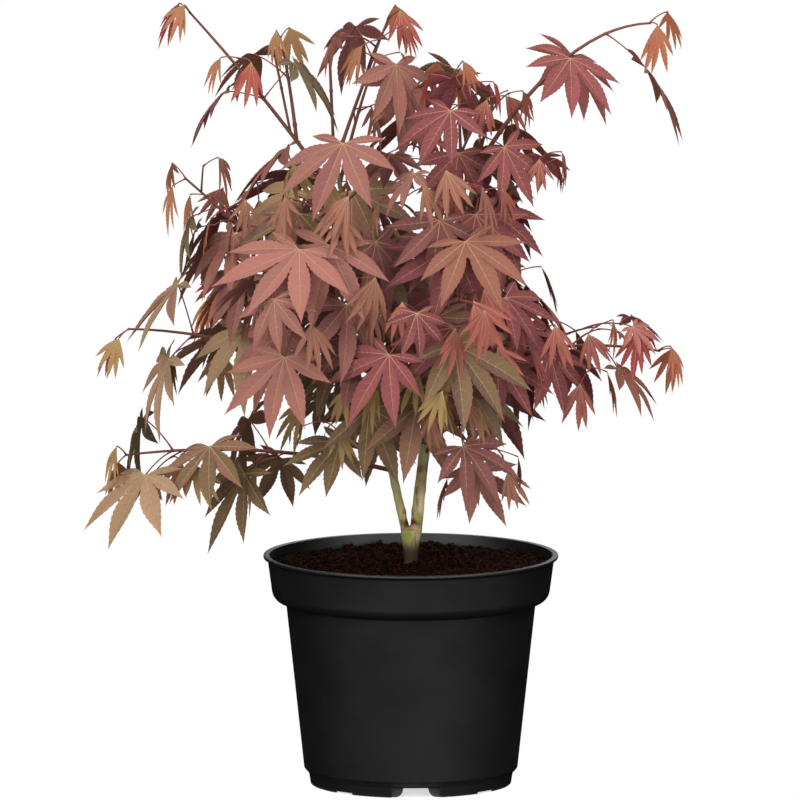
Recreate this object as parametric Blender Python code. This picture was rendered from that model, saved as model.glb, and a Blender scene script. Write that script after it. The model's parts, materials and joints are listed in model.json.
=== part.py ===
"""Potted Japanese maple: a young two-stemmed tree in a black nursery container.

Metres, +Z up. The origin is the middle of the container's flat underside, and -Y is the
front. Each limb and each spray of foliage is one closed solid. A shoot is one arch: its
inner share is the bough and the rest is the stem of its spray, which carries pairs of
palmate leaves by a seeded rule.
"""

import math
import random

import bmesh
import bpy
from mathutils import Matrix, Vector
from mathutils.bvhtree import BVHTree

UP = Vector((0, 0, 1))
GAP = 0.0003  # between solids that touch

# Container
RIM_RADIUS = 0.095
RIM_HEIGHT = 0.1485
WALL = 0.0013
LIP_THICKNESS = 0.0016
LIP_BEVEL = 0.0004
BAND_TOP_RADIUS = 0.0923
BAND_FOOT_RADIUS = 0.0892
BAND_FOOT = 0.1228
BAND_HEEL = (0.0030, 0.0034)  # how far the band's foot turns in, and down
BODY_TOP_RADIUS = 0.0805
BODY_TOP = 0.1182
BODY_FOOT_RADIUS = 0.0688
BODY_FOOT = 0.0105
SKIRT_RADIUS = 0.0646
SKIRT_TOP = 0.0072
SKIRT_STEP = 0.0012
FLOOR_UNDERSIDE = 0.0070
PAD_RADIUS = 0.026
POT_SIDES = 36
NOTCHES = 2
NOTCH_TURN = math.radians(3)  # the front notch sits a little to the right of the middle
NOTCH_WIDTH = 0.0315
NOTCH_HEIGHT = 0.0066
LIFTS = 4
FOOT_END = math.radians(39)  # a foot runs from the notch to this far from its middle
FOOT_LIFT = 0.0013
HEEL_WIDTH = 0.0075
HEEL_ROUND = 0.0052
HEEL_STEPS = 4
HEEL_INNER = 0.046  # how near the axis a heel reaches
CUT_PAST = 0.004  # how far a cutter stands out of what it cuts
SOIL_TOP = 0.141

# Trunk: height above the soil, radius
TRUNK = (
    (0.0, 0.0050), (0.004, 0.0044), (0.012, 0.0052), (0.019, 0.0062), (0.024, 0.0076), (0.027, 0.0076)
)
TRUNK_SIDES = 10

# Stems: foot, tip, sideways bow in X, radius at foot and tip
STEMS = {
    "stem_left": ((-0.0036, 0.0, 0.1650), (-0.0500, 0.005, 0.4190), -0.003, 0.0029, 0.0012),
    "stem_right": ((0.0034, 0.0, 0.1650), (0.0440, -0.002, 0.4030), -0.005, 0.0040, 0.0014),
}
STEM_SIDES = 8
STEM_STEPS = 8

# Shoots: colour of its leaves, the limb, the share of its length where the shoot leaves it, the
# share of the shoot that is bough, its tip, the rise of its arch over the chord, pairs of grown
# leaves, side twigs, length of a grown leaf, seed
SHOOTS = {
    "left_top": ("plum", "stem_left", 0.83, 0.4, (-0.142, -0.012, 0.502), 0.004, 1, 1, 0.050, 378),
    "left_inner": ("bronze", "left_top", 0.30, 0, (-0.084, 0.005, 0.484), 0.006, 1, 0, 0.046, 322),
    "top_left": ("plum", "stem_left", 0.94, 0, (-0.014, 0.004, 0.497), 0.002, 1, 1, 0.050, 322),
    "top_front": ("bronze", "stem_left", 0.76, 0, (-0.062, -0.062, 0.408), 0.002, 2, 0, 0.050, 77),
    "top_back": ("plum", "stem_left", 0.88, 0, (-0.022, 0.038, 0.466), 0.005, 1, 0, 0.048, 323),
    "top_middle": ("plum", "stem_right", 0.73, 0.4, (0.012, 0.012, 0.458), 0.006, 3, 1, 0.052, 16),
    "top_inner": ("rose", "stem_right", 0.82, 0.4, (0.030, 0.010, 0.462), 0.000, 2, 1, 0.048, 192),
    "right_top": ("rose", "stem_right", 1.00, 0.4, (0.154, -0.005, 0.494), 0.022, 2, 0, 0.054, 138),
    "right_short": ("rose", "stem_right", 0.92, 0, (0.054, -0.030, 0.450), 0.004, 1, 1, 0.046, 347),
    "right_upper": ("rose", "stem_right", 0.66, 0.4, (0.084, -0.026, 0.404), 0.011, 2, 0, 0.044, 347),
    "right_middle": ("rose", "stem_right", 0.55, 0.4, (0.074, -0.052, 0.322), 0.011, 2, 0, 0.050, 6),
    "right_low": ("rose", "stem_right", 0.42, 0.4, (0.160, -0.022, 0.284), 0.010, 2, 1, 0.047, 151),
    "left_upper": ("plum", "stem_left", 0.46, 0.4, (-0.145, -0.028, 0.397), 0.002, 3, 2, 0.048, 166),
    "left_middle": ("bronze", "stem_left", 0.33, 0.4, (-0.182, -0.006, 0.296), 0.011, 2, 0, 0.056, 232),
    "left_low": ("bronze", "stem_left", 0.15, 0.4, (-0.184, -0.006, 0.214), 0.008, 3, 0, 0.058, 396),
    "front_low_left": ("bronze", "stem_left", 0.22, 0, (-0.056, -0.066, 0.244), 0.014, 1, 1, 0.050, 390),
    "front_low_right": ("plum", "stem_right", 0.20, 0, (0.052, -0.062, 0.226), 0.018, 1, 1, 0.048, 199),
    "front_low": ("bronze", "stem_right", 0.28, 0, (-0.002, -0.090, 0.268), 0.018, 1, 2, 0.058, 360),
    "front_left": ("plum", "stem_left", 0.38, 0.4, (-0.076, -0.112, 0.327), 0.020, 3, 2, 0.061, 188),
    "front_middle": ("rose", "stem_right", 0.46, 0.4, (0.010, -0.125, 0.319), 0.017, 3, 2, 0.058, 121),
    "front_right": ("rose", "stem_right", 0.36, 0.4, (0.062, -0.098, 0.300), 0.016, 2, 2, 0.054, 297),
    "front_high_left": ("plum", "stem_left", 0.58, 0.4, (-0.060, -0.090, 0.385), 0.013, 3, 2, 0.057, 321),
    "front_high": ("plum", "stem_right", 0.63, 0, (-0.008, -0.097, 0.390), 0.015, 1, 1, 0.053, 370),
    "front_high_right": ("rose", "stem_right", 0.76, 0, (0.048, -0.065, 0.394), 0.008, 2, 0, 0.050, 322),
    "back_low_left": ("bronze", "stem_left", 0.27, 0, (-0.058, 0.104, 0.247), 0.012, 1, 1, 0.060, 193),
    "back_low_right": ("plum", "stem_right", 0.26, 0, (0.058, 0.117, 0.256), 0.016, 2, 1, 0.058, 216),
    "back_left": ("plum", "stem_left", 0.50, 0.4, (-0.122, 0.100, 0.312), 0.014, 2, 1, 0.060, 208),
    "back_right": ("rose", "stem_right", 0.50, 0.4, (0.094, 0.102, 0.286), 0.013, 1, 1, 0.058, 245),
    "back_middle": ("bronze", "stem_right", 0.59, 0.4, (0.000, 0.150, 0.330), 0.014, 3, 1, 0.060, 132),
    "back_high_left": ("plum", "stem_left", 0.68, 0, (-0.066, 0.086, 0.368), 0.009, 2, 1, 0.052, 305),
    "back_high_right": ("rose", "stem_right", 0.78, 0, (0.038, 0.087, 0.388), 0.013, 1, 1, 0.052, 360),
}
BOUGH_RADII = (0.0015, 0.0012)
BOUGH_SIDES = 5
BOUGH_STEPS = 3
SPRAY_RADII = (0.0013, 0.0010)
TWIG_RADII = (0.0010, 0.0008)
TWIG_SIDES = 3
TWIG_LENGTH = 0.050
TWIG_SPREAD = math.radians(42)
TWIG_LIFT = 0.3
TWIG_SCATTER = (0.8, 1.2)  # of its length
TWIG_RISE = 0.003

# Cut stubs: the limb, the share of its length, tip, radius
STUBS = {
    "stub_middle": ("stem_left", 1.0, (-0.0525, 0.006, 0.4790), 0.0011),
    "stub_left": ("left_top", 0.34, (-0.0890, 0.002, 0.4800), 0.0009),
    "stub_right": ("right_upper", 0.22, (0.0720, -0.006, 0.4180), 0.0013),
}

# Leaves
FIRST_LEAF = 0.42  # share of a shoot below its first leaf
ROOT_SINK = 0.0010  # how far below a twig's end its last stalks start
PETIOLE_SHARE = 0.55  # of the blade's length
PETIOLE_RADIUS = 0.00045
LOBE_FAN = math.radians(35)  # between neighbouring lobes of a grown leaf
YOUNG_FAN = math.radians(17)
LOBE_WIDTH = 0.115  # half width as a share of the lobe's length
SHOULDER = 0.54  # where a lobe is widest
SINUS = 0.25  # where neighbouring lobes part
YOUNG_SINUS = 0.38
YOUNG_SHARE = 0.60  # young leaf's length as a share of a grown one's
LEAF_THICKNESS = 0.015  # as a share of the length, at the base of the blade
LEAF_LOSS = 0.12  # share of leaves that a node has lost
TRIES = 12
CLEARANCE = 0.0012
STALK_TESTED = 0.2  # a stalk is tested from here out, clear of its own twig
SPACE_SLACK = 0.022

# How leaves vary: angles in degrees, and the rest as shares
HABIT = {
    "turn": 24,  # about the twig
    "forward": (0.30, 0.75),  # how far the stalk leans along the twig
    "lift": (-0.10, 0.45),  # and upwards
    "stalk": (0.65, 1.25),
    "hang": (15, 50),  # the blade's middle lobe from straight down
    "young_hang": (4, 24),
    "roll": 28,
    "sway": 22,
    "size": (0.85, 1.12),
    "lobe_turn": 5,
    "lobe_size": (0.93, 1.07),
    "droop": (0.05, 0.22),  # of a lobe's tip below the blade
    "young_droop": (0.02, 0.10),
}

COLOURS = {
    "plastic": (0.016, 0.016, 0.017),
    "compost": (0.045, 0.020, 0.012),
    "bark": (0.20, 0.21, 0.07),
    "shoot": (0.12, 0.045, 0.045),
    "plum": (0.21, 0.075, 0.085),
    "rose": (0.30, 0.085, 0.095),
    "bronze": (0.24, 0.13, 0.08),
}


def clear_scene():
    for obj in list(bpy.data.objects):
        bpy.data.objects.remove(obj)


def material(name, roughness=0.6):
    made = bpy.data.materials.get(name)
    if made is None:
        made = bpy.data.materials.new(name)
        made.use_nodes = True
        shader = made.node_tree.nodes["Principled BSDF"]
        shader.inputs["Base Color"].default_value = (*COLOURS[name], 1)
        shader.inputs["Roughness"].default_value = roughness
        shader.inputs["Metallic"].default_value = 0
    return made


def solid(name, points, faces, finish, smooth=None):
    """One named object from points and faces."""
    mesh = bpy.data.meshes.new(name)
    mesh.from_pydata([tuple(p) for p in points], [], faces)
    mesh.update()
    obj = bpy.data.objects.new(name, mesh)
    bpy.context.scene.collection.objects.link(obj)
    mesh.materials.append(material(finish))
    if smooth is not None:
        mesh.shade_smooth()
        mesh.set_sharp_from_angle(angle=smooth)
    return obj


def helper(obj):
    """Marks a cutter, which isn't a part of the plant."""
    obj.hide_render = True
    obj.display_type = "WIRE"
    return obj


def combine(obj, operation, other):
    modifier = obj.modifiers.new(operation.lower(), "BOOLEAN")
    modifier.operation = operation
    modifier.solver = "EXACT"
    modifier.object = other


# Container and compost


def inner_wall():
    """Radius and height up the container's inner side, from the middle of its floor."""
    floor = FLOOR_UNDERSIDE + WALL
    return [
        (0, WALL),
        (PAD_RADIUS - 2 * WALL, WALL),
        (PAD_RADIUS - WALL, floor),
        (BODY_FOOT_RADIUS - 2 * WALL, floor),
        (BODY_FOOT_RADIUS - WALL, floor + 2 * WALL),
        (BODY_TOP_RADIUS - WALL, BODY_TOP + WALL),
        (BAND_FOOT_RADIUS - 2 * WALL, BODY_TOP + 2 * WALL),
        (BAND_FOOT_RADIUS - WALL, BAND_FOOT),
        (BAND_TOP_RADIUS - WALL, RIM_HEIGHT),
    ]


def outer_wall():
    """Radius and height down the container's outer side, from its lip to its underside."""
    return [
        (RIM_RADIUS - LIP_BEVEL, RIM_HEIGHT),
        (RIM_RADIUS, RIM_HEIGHT - LIP_THICKNESS),
        (BAND_TOP_RADIUS, RIM_HEIGHT - LIP_THICKNESS - LIP_BEVEL * 3),
        (BAND_FOOT_RADIUS, BAND_FOOT),
        (BAND_FOOT_RADIUS - BAND_HEEL[0], BAND_FOOT - BAND_HEEL[1]),
        (BODY_TOP_RADIUS, BODY_TOP),
        (BODY_FOOT_RADIUS, BODY_FOOT),
        (SKIRT_RADIUS + SKIRT_STEP, SKIRT_TOP),
        (SKIRT_RADIUS, 0),
        (SKIRT_RADIUS - WALL, 0),
        (SKIRT_RADIUS - WALL, FLOOR_UNDERSIDE),
        (PAD_RADIUS, FLOOR_UNDERSIDE),
        (PAD_RADIUS - WALL, 0),
        (0, 0),
    ]


def turned(name, outline, finish):
    """A solid of revolution about Z, from an outline that starts and ends on the axis."""
    shape = bmesh.new()
    corners = [shape.verts.new((radius, 0, height)) for radius, height in outline]
    edges = [shape.edges.new(pair) for pair in zip(corners, corners[1:])]
    bmesh.ops.spin(
        shape,
        geom=corners + edges,
        cent=(0, 0, 0),
        axis=(0, 0, 1),
        angle=2 * math.pi,
        steps=POT_SIDES,
        use_merge=True,
    )
    bmesh.ops.remove_doubles(shape, verts=shape.verts, dist=0.00001)
    bmesh.ops.recalc_face_normals(shape, faces=shape.faces)
    mesh = bpy.data.meshes.new(name)
    shape.to_mesh(mesh)
    shape.free()
    mesh.materials.append(material(finish, 0.45 if finish == "plastic" else 0.9))
    mesh.shade_smooth()
    mesh.set_sharp_from_angle(angle=math.radians(35))
    obj = bpy.data.objects.new(name, mesh)
    bpy.context.scene.collection.objects.link(obj)
    return obj


def prism(name, outline, near, far, turn):
    """An outline of (sideways, height) drawn out from one distance from the axis to another,
    then turned about Z. At no turn it faces the front."""
    count = len(outline)
    points = [(x, -near, z) for x, z in outline] + [(x, -far, z) for x, z in outline]
    faces = [tuple(range(count - 1, -1, -1)), tuple(range(count, 2 * count))]
    for i in range(count):
        j = (i + 1) % count
        faces.append((i, j, count + j, count + i))
    spin = Matrix.Rotation(turn, 3, "Z")
    return solid(name, [spin @ Vector(p) for p in points], faces, "plastic")


def heel_outline():
    """The block that stiffens one side of a notch, round at its lower inner corner."""
    half = NOTCH_WIDTH / 2
    inner = half - HEEL_WIDTH
    top = FLOOR_UNDERSIDE + WALL / 2
    outline = [(half + WALL, 0), (half + WALL, top), (inner - HEEL_ROUND / 4, top)]
    for i in range(HEEL_STEPS + 1):
        turn = math.pi / 2 * i / HEEL_STEPS
        lean = HEEL_ROUND * (1 - math.cos(turn))
        outline.append((inner + lean, HEEL_ROUND * (1 - math.sin(turn))))
    return outline


def build_pot():
    """The container, whose skirt has a notch at the front and back and is lifted between."""
    pot = turned("pot", inner_wall() + outer_wall(), "plastic")
    near, far = SKIRT_RADIUS - WALL - CUT_PAST, BODY_FOOT_RADIUS + CUT_PAST
    half = NOTCH_WIDTH / 2
    notch = [(-half, -CUT_PAST), (half, -CUT_PAST), (half, NOTCH_HEIGHT), (-half, NOTCH_HEIGHT)]
    half = (SKIRT_RADIUS + CUT_PAST) * math.tan(math.pi / 4 - FOOT_END)
    lift = [(-half, -CUT_PAST), (half, -CUT_PAST), (half, FOOT_LIFT), (-half, FOOT_LIFT)]
    for n in range(NOTCHES):
        turn = NOTCH_TURN + 2 * math.pi * n / NOTCHES
        combine(pot, "DIFFERENCE", helper(prism(f"notch_{n}", notch, near, far, turn)))
        for side in (-1, 1):
            outline = [(side * x, z) for x, z in heel_outline()][::side]
            block = prism(f"heel_{n}_{side}", outline, HEEL_INNER, near + WALL, turn)
            combine(pot, "UNION", helper(block))
    for n in range(LIFTS):
        turn = NOTCH_TURN + 2 * math.pi * (n + 0.5) / LIFTS
        combine(pot, "DIFFERENCE", helper(prism(f"lift_{n}", lift, near, far, turn)))
    return pot


def build_soil():
    outline = [(max(0, radius - GAP), height + GAP) for radius, height in inner_wall()]
    top = outline.pop()
    foot = outline[-1]
    share = (SOIL_TOP - foot[1]) / (top[1] - foot[1])
    outline.append((foot[0] + (top[0] - foot[0]) * share, SOIL_TOP))
    outline.append((0, SOIL_TOP))
    return turned("soil", outline, "compost")


# Limbs


class Arch:
    """A curve from a start to a tip that rises over its chord."""

    def __init__(self, start, tip, rise, bow=0.0):
        self.start = Vector(start)
        self.tip = Vector(tip)
        self.knee = (self.start + self.tip) / 2 + UP * 2 * rise + Vector((2 * bow, 0, 0))

    def point(self, t):
        return self.start * (1 - t) ** 2 + self.knee * 2 * t * (1 - t) + self.tip * t * t

    def along(self, t):
        way = (self.knee - self.start) * (1 - t) + (self.tip - self.knee) * t
        return way.normalized()

    def length(self, first=0.0, last=1.0, steps=12):
        stops = [self.point(first + (last - first) * i / steps) for i in range(steps + 1)]
        return sum((b - a).length for a, b in zip(stops, stops[1:]))


def tube(centres, ways, radii, sides):
    """Points and faces of a closed tapering tube."""
    points, faces = [], []
    across = ways[0].orthogonal()
    for centre, way, radius in zip(centres, ways, radii):
        across = (across - way * across.dot(way)).normalized()
        other = way.cross(across)
        for k in range(sides):
            turn = 2 * math.pi * k / sides
            points.append(centre + (across * math.cos(turn) + other * math.sin(turn)) * radius)
    for ring in range(len(centres) - 1):
        a, b = ring * sides, (ring + 1) * sides
        for k in range(sides):
            n = (k + 1) % sides
            faces.append((a + k, a + n, b + n, b + k))
    faces.append(tuple(range(sides - 1, -1, -1)))
    faces.append(tuple(range(len(points) - sides, len(points))))
    return points, faces


def even(first, last, steps):
    return [first + (last - first) * i / steps for i in range(steps + 1)]


def arch_tube(arch, shares, radii, sides, grow=0.0):
    """A tube with a ring at each share of an arch. Grow widens it and lengthens both ends."""
    run = shares[-1] - shares[0]
    centres = [arch.point(t) for t in shares]
    ways = [arch.along(t) for t in shares]
    widths = [radii[0] + (radii[1] - radii[0]) * (t - shares[0]) / run + grow for t in shares]
    if grow:
        centres[0] = centres[0] - ways[0] * grow
        centres[-1] = centres[-1] + ways[-1] * grow
    return tube(centres, ways, widths, sides)


def trunk_tube(grow=0.0):
    foot = Vector((0, 0, SOIL_TOP + GAP))
    centres = [foot + UP * height for height, _ in TRUNK]
    centres[-1] += UP * grow
    widths = [radius + grow for _, radius in TRUNK]
    return tube(centres, [UP] * len(TRUNK), widths, TRUNK_SIDES)


def stem_arches():
    return {name: Arch(foot, tip, 0, bow) for name, (foot, tip, bow, *_) in STEMS.items()}


def stem_tube(name, arch, grow=0.0):
    radii = STEMS[name][3:]
    return arch_tube(arch, even(0, 1, STEM_STEPS), radii, STEM_SIDES, grow)


def bough_tube(shoot, grow=0.0):
    return arch_tube(shoot.arch, even(0, shoot.bough, BOUGH_STEPS), BOUGH_RADII, BOUGH_SIDES, grow)


def stub_tube(name, arches, grow=0.0):
    parent, share, tip, radius = STUBS[name]
    arch = Arch(arches[parent].point(share), tip, 0)
    return arch_tube(arch, even(0, 1, 2), (radius, radius), BOUGH_SIDES, grow)


def build_limbs(shoots):
    """Trunk, stems, boughs and stubs. A limb starts on its parent's middle line and is cut
    clear of the parent by a cutter a gap wider than it. Returns the cutters."""
    smooth = math.radians(50)
    arches = {**stem_arches(), **{name: shoot.arch for name, shoot in shoots.items()}}
    solid("trunk", *trunk_tube(), "bark", smooth)
    cutters = {"trunk": helper(solid("trunk_cutter", *trunk_tube(GAP), "bark"))}
    for name in STEMS:
        stem = solid(name, *stem_tube(name, arches[name]), "bark", smooth)
        combine(stem, "DIFFERENCE", cutters["trunk"])
        shape = stem_tube(name, arches[name], GAP)
        cutters[name] = helper(solid(name + "_cutter", *shape, "bark"))
    for name, shoot in shoots.items():
        if shoot.bough:
            bough = solid("bough_" + name, *bough_tube(shoot), "shoot", smooth)
            combine(bough, "DIFFERENCE", cutters[shoot.parent])
            shape = bough_tube(shoot, GAP)
            cutters[name] = helper(solid(f"bough_{name}_cutter", *shape, "shoot"))
    for name in STUBS:
        stub = solid(name, *stub_tube(name, arches), "shoot", smooth)
        combine(stub, "DIFFERENCE", cutters[STUBS[name][0]])
    return cutters


# Shoots and their sprays of leaves


class Shoot:
    def __init__(self, spec, arches):
        self.finish, self.parent, share, self.bough, tip, rise, pairs, *spray = spec
        self.twigs, self.leaf, seed = spray
        self.arch = Arch(arches[self.parent].point(share), tip, rise)
        self.first = self.bough and self.bough + GAP / self.arch.length()
        self.rng = random.Random(seed)
        self.line = [self.arch.point(0.3 + 0.07 * i) for i in range(11)]
        # Pairs of leaves stand at even distances, the last of them at the tip.
        self.stations = [1 - (1 - FIRST_LEAF) * n / (pairs + 0.2) for n in range(pairs + 1)]

    def distance(self, point):
        return min((point - p).length for p in self.line)


def blade(base, down, side, face, length, young, lobe_draws, lean, thick):
    """Points and faces of one palmate blade, and the four points where its stalk joins: a fan
    of lobes about the base, thickest there and sharp at its outline. Down is the way the
    middle lobe points, side is across it, face is the upper side, and lean tips the joint
    towards a stalk that comes from behind."""
    fan = YOUNG_FAN if young else LOBE_FAN
    reach = 2 if young else 3

    def at(turn, distance, sink):
        return base + (down * math.cos(turn) + side * math.sin(turn)) * distance - face * sink

    outline = [base - side * PETIOLE_RADIUS * 1.5 - down * PETIOLE_RADIUS]
    lobes = range(-reach, reach + 1)
    for n in lobes:
        turn = n * fan + lobe_draws[n + reach][0]
        size = length * math.cos(0.6 * n * LOBE_FAN) * lobe_draws[n + reach][1]
        sink = size * lobe_draws[n + reach][2]
        spread = math.atan2(LOBE_WIDTH, SHOULDER)
        shoulder = size * math.hypot(LOBE_WIDTH, SHOULDER)
        whole = not young and abs(n) < reach
        if whole:
            outline.append(at(turn - spread, shoulder, sink * 0.3))
        outline.append(at(turn, size, sink))
        if whole:
            outline.append(at(turn + spread, shoulder, sink * 0.3))
        if n < reach:
            valley = (turn + (n + 1) * fan + lobe_draws[n + reach + 1][0]) / 2
            depth = YOUNG_SINUS if young else SINUS
            outline.append(at(valley, length * depth * math.cos(0.6 * (n + 0.5) * LOBE_FAN), 0))
    outline.append(base + side * PETIOLE_RADIUS * 1.5 - down * PETIOLE_RADIUS)
    crest = (face - down * lean) * thick * length / 2
    count = len(outline)
    points = outline + [base + crest, base - crest]
    faces = [(count, i, i + 1) for i in range(count - 1)]
    faces += [(count + 1, i + 1, i) for i in range(count - 1)]
    return points, faces, (0, count, count - 1, count + 1)


def leaf_solid(leaf, thick=LEAF_THICKNESS):
    """A blade closed by its stalk, a four-sided tube from the twig."""
    points, faces, mouth = blade(*leaf["blade"], thick)
    root, base, side = leaf["root"], leaf["blade"][0], leaf["blade"][2]
    way = (base - root).normalized()
    across = (side - way * side.dot(way)).normalized()
    top = way.cross(across)
    first = len(points)
    new = tuple(range(first, first + 4))
    for arm in (-across, top, across, -top):
        points.append(root + arm * PETIOLE_RADIUS)
    for i in range(4):
        j = (i + 1) % 4
        faces.append((mouth[i], mouth[j], new[j], new[i]))
    faces.append(new)
    return points, faces


def swing(rng, kind):
    """A turn either way by up to the habit's angle."""
    return math.radians(rng.uniform(-HABIT[kind], HABIT[kind]))


def leaf_draw(rng, twig, share, quarter, length, young, axis_out):
    """One leaf as the rule draws it: where its stalk starts and ends, and how its blade hangs."""
    along = twig.along(share)
    level = along.cross(UP)
    if level.length < 0.35:
        level = axis_out.cross(UP)
    level.normalize()
    rise = level.cross(along).normalized()
    turn = quarter + swing(rng, "turn")
    way = level * math.cos(turn) + rise * math.sin(turn)
    way = way + along * rng.uniform(*HABIT["forward"]) + UP * rng.uniform(*HABIT["lift"])
    way.normalize()
    stalk = length * PETIOLE_SHARE * rng.uniform(*HABIT["stalk"])
    root = twig.point(share)
    if share == 1:
        root = root - along * ROOT_SINK
    out = (Vector((way.x, way.y, 0)) + axis_out * 0.35).normalized()
    hang = math.radians(rng.uniform(*HABIT["young_hang" if young else "hang"]))
    down = -UP * math.cos(hang) + out * math.sin(hang)
    face = out * math.cos(hang) + UP * math.sin(hang)
    roll = Matrix.Rotation(swing(rng, "roll"), 3, face)
    sway = Matrix.Rotation(swing(rng, "sway"), 3, "Z")
    down, face = sway @ (roll @ down), sway @ face
    side = face.cross(down)
    way = (way * 0.85 + down * 0.15).normalized()
    base = root + way * stalk
    lean = min(1.0, max(-1.0, way.dot(face) / (1.001 + way.dot(down))))
    size = length * rng.uniform(*HABIT["size"])
    droop = HABIT["young_droop" if young else "droop"]
    lobes = []
    for _ in range(7):
        turn = swing(rng, "lobe_turn")
        lobes.append((turn, rng.uniform(*HABIT["lobe_size"]), rng.uniform(*droop)))
    return {"root": root, "blade": (base, down, side, face, size, young, lobes, lean)}


class Growth:
    """What has grown so far, to keep each new twig and leaf clear of it."""

    def __init__(self, shoots):
        self.shoots = shoots
        self.grown = []

    def add(self, tag, points, faces):
        middle = sum(points, Vector()) / len(points)
        radius = max((p - middle).length for p in points)
        self.grown.append((tag, middle, radius, BVHTree.FromPolygons(points, faces)))

    def clear(self, points, faces, skip=()):
        middle = sum(points, Vector()) / len(points)
        radius = max((p - middle).length for p in points)
        tree = BVHTree.FromPolygons(points, faces)
        for tag, other_middle, other_radius, other in self.grown:
            if tag in skip or (middle - other_middle).length > radius + other_radius:
                continue
            if tree.overlap(other):
                return False
        return True

    def own_space(self, name, point):
        """Whether a point is nearest to its own shoot, within a little slack."""
        own = self.shoots[name].distance(point) - SPACE_SLACK
        return all(own <= s.distance(point) for n, s in self.shoots.items() if n != name)


def stalk_tube(leaf):
    """The outer part of a leaf's stalk, for the test of what it would touch."""
    root, base = leaf["root"], leaf["blade"][0]
    way = (base - root).normalized()
    ends = [root.lerp(base, STALK_TESTED), base]
    return tube(ends, [way, way], [PETIOLE_RADIUS + CLEARANCE / 2] * 2, 3)


def grow_leaf(crown, name, rng, twig, tag, share, quarter, length, young, axis_out):
    """Tries one leaf a few times, and returns it where it keeps to its space."""
    for _ in range(TRIES):
        leaf = leaf_draw(rng, twig, share, quarter, length, young, axis_out)
        base, down = leaf["blade"][:2]
        middle = base + down * leaf["blade"][4] * 0.5
        if not crown.own_space(name, middle):
            continue
        points, faces, _ = blade(*leaf["blade"], LEAF_THICKNESS + 2 * CLEARANCE / length)
        if not crown.clear(points, faces):
            continue
        stalk = stalk_tube(leaf)
        if not crown.clear(*stalk, skip=(tag, (tag, share))):
            continue
        crown.add("blade", points, faces)
        crown.add((tag, share), *stalk)
        return leaf
    return None


def side_twigs(crown, name, shoot):
    """Short twigs that leave the stem of a spray where a pair of leaves does."""
    twigs = []
    rng = shoot.rng
    for n in range(shoot.twigs):
        share = shoot.stations[-1 - n]
        along = shoot.arch.along(share)
        level = along.cross(UP).normalized()
        side = rng.choice((-1, 1))
        for turn in (side, -side):
            way = along * math.cos(TWIG_SPREAD) + level * turn * math.sin(TWIG_SPREAD)
            way = (way + UP * rng.uniform(0.0, TWIG_LIFT)).normalized()
            start = shoot.arch.point(share)
            tip = start + way * TWIG_LENGTH * rng.uniform(*TWIG_SCATTER)
            twig = Arch(start, tip, TWIG_RISE)
            radii = [r + CLEARANCE for r in TWIG_RADII]
            inside = crown.own_space(name, twig.point(0.7))
            outer = arch_tube(twig, even(0.15, 1, 2), radii, TWIG_SIDES)
            if inside and crown.clear(*outer, skip=(name,)):
                tag = (name, n)
                crown.add(tag, *arch_tube(twig, even(0, 1, 2), radii, TWIG_SIDES))
                twigs.append((twig, tag, [1, 0.5]))
                break
    return twigs


def grow_spray(crown, name):
    """The twigs and leaves of one spray, as a list of arches and a list of leaves."""
    shoot = crown.shoots[name]
    tip = shoot.arch.tip
    rng = shoot.rng
    twigs = side_twigs(crown, name, shoot)
    leaves = []
    for twig, tag, stations in [(shoot.arch, name, shoot.stations), *twigs]:
        quarter = rng.uniform(-0.5, 0.5)
        for share in stations:
            young = share == 1
            length = shoot.leaf * (YOUNG_SHARE if young else 1)
            spot = twig.point(share)
            axis_out = Vector((spot.x + tip.x * 0.5, spot.y + tip.y * 0.5, 0)).normalized()
            for turn in (quarter, quarter + math.pi):
                if rng.random() < LEAF_LOSS:
                    continue
                leaf = grow_leaf(
                    crown, name, rng, twig, tag, share, turn, length, young, axis_out
                )
                if leaf:
                    leaves.append(leaf)
            quarter += math.pi / 2
    return [twig for twig, _, _ in twigs], leaves


def keep_largest(mesh):
    """Drops loose scraps and the walls of sealed hollows."""
    shape = bmesh.new()
    shape.from_mesh(mesh)
    left = set(shape.verts)
    islands = []
    while left:
        island, edge = set(), [left.pop()]
        while edge:
            vert = edge.pop()
            island.add(vert)
            near = {e.other_vert(vert) for e in vert.link_edges} & left
            left -= near
            edge.extend(near)
        islands.append(island)
    islands.sort(key=len)
    if len(islands) > 1:
        print(mesh.name, "dropped", [len(i) for i in islands[:-1]], "of", len(islands[-1]))
    for island in islands[:-1]:
        bmesh.ops.delete(shape, geom=list(island), context="VERTS")
    shape.to_mesh(mesh)
    shape.free()


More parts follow.
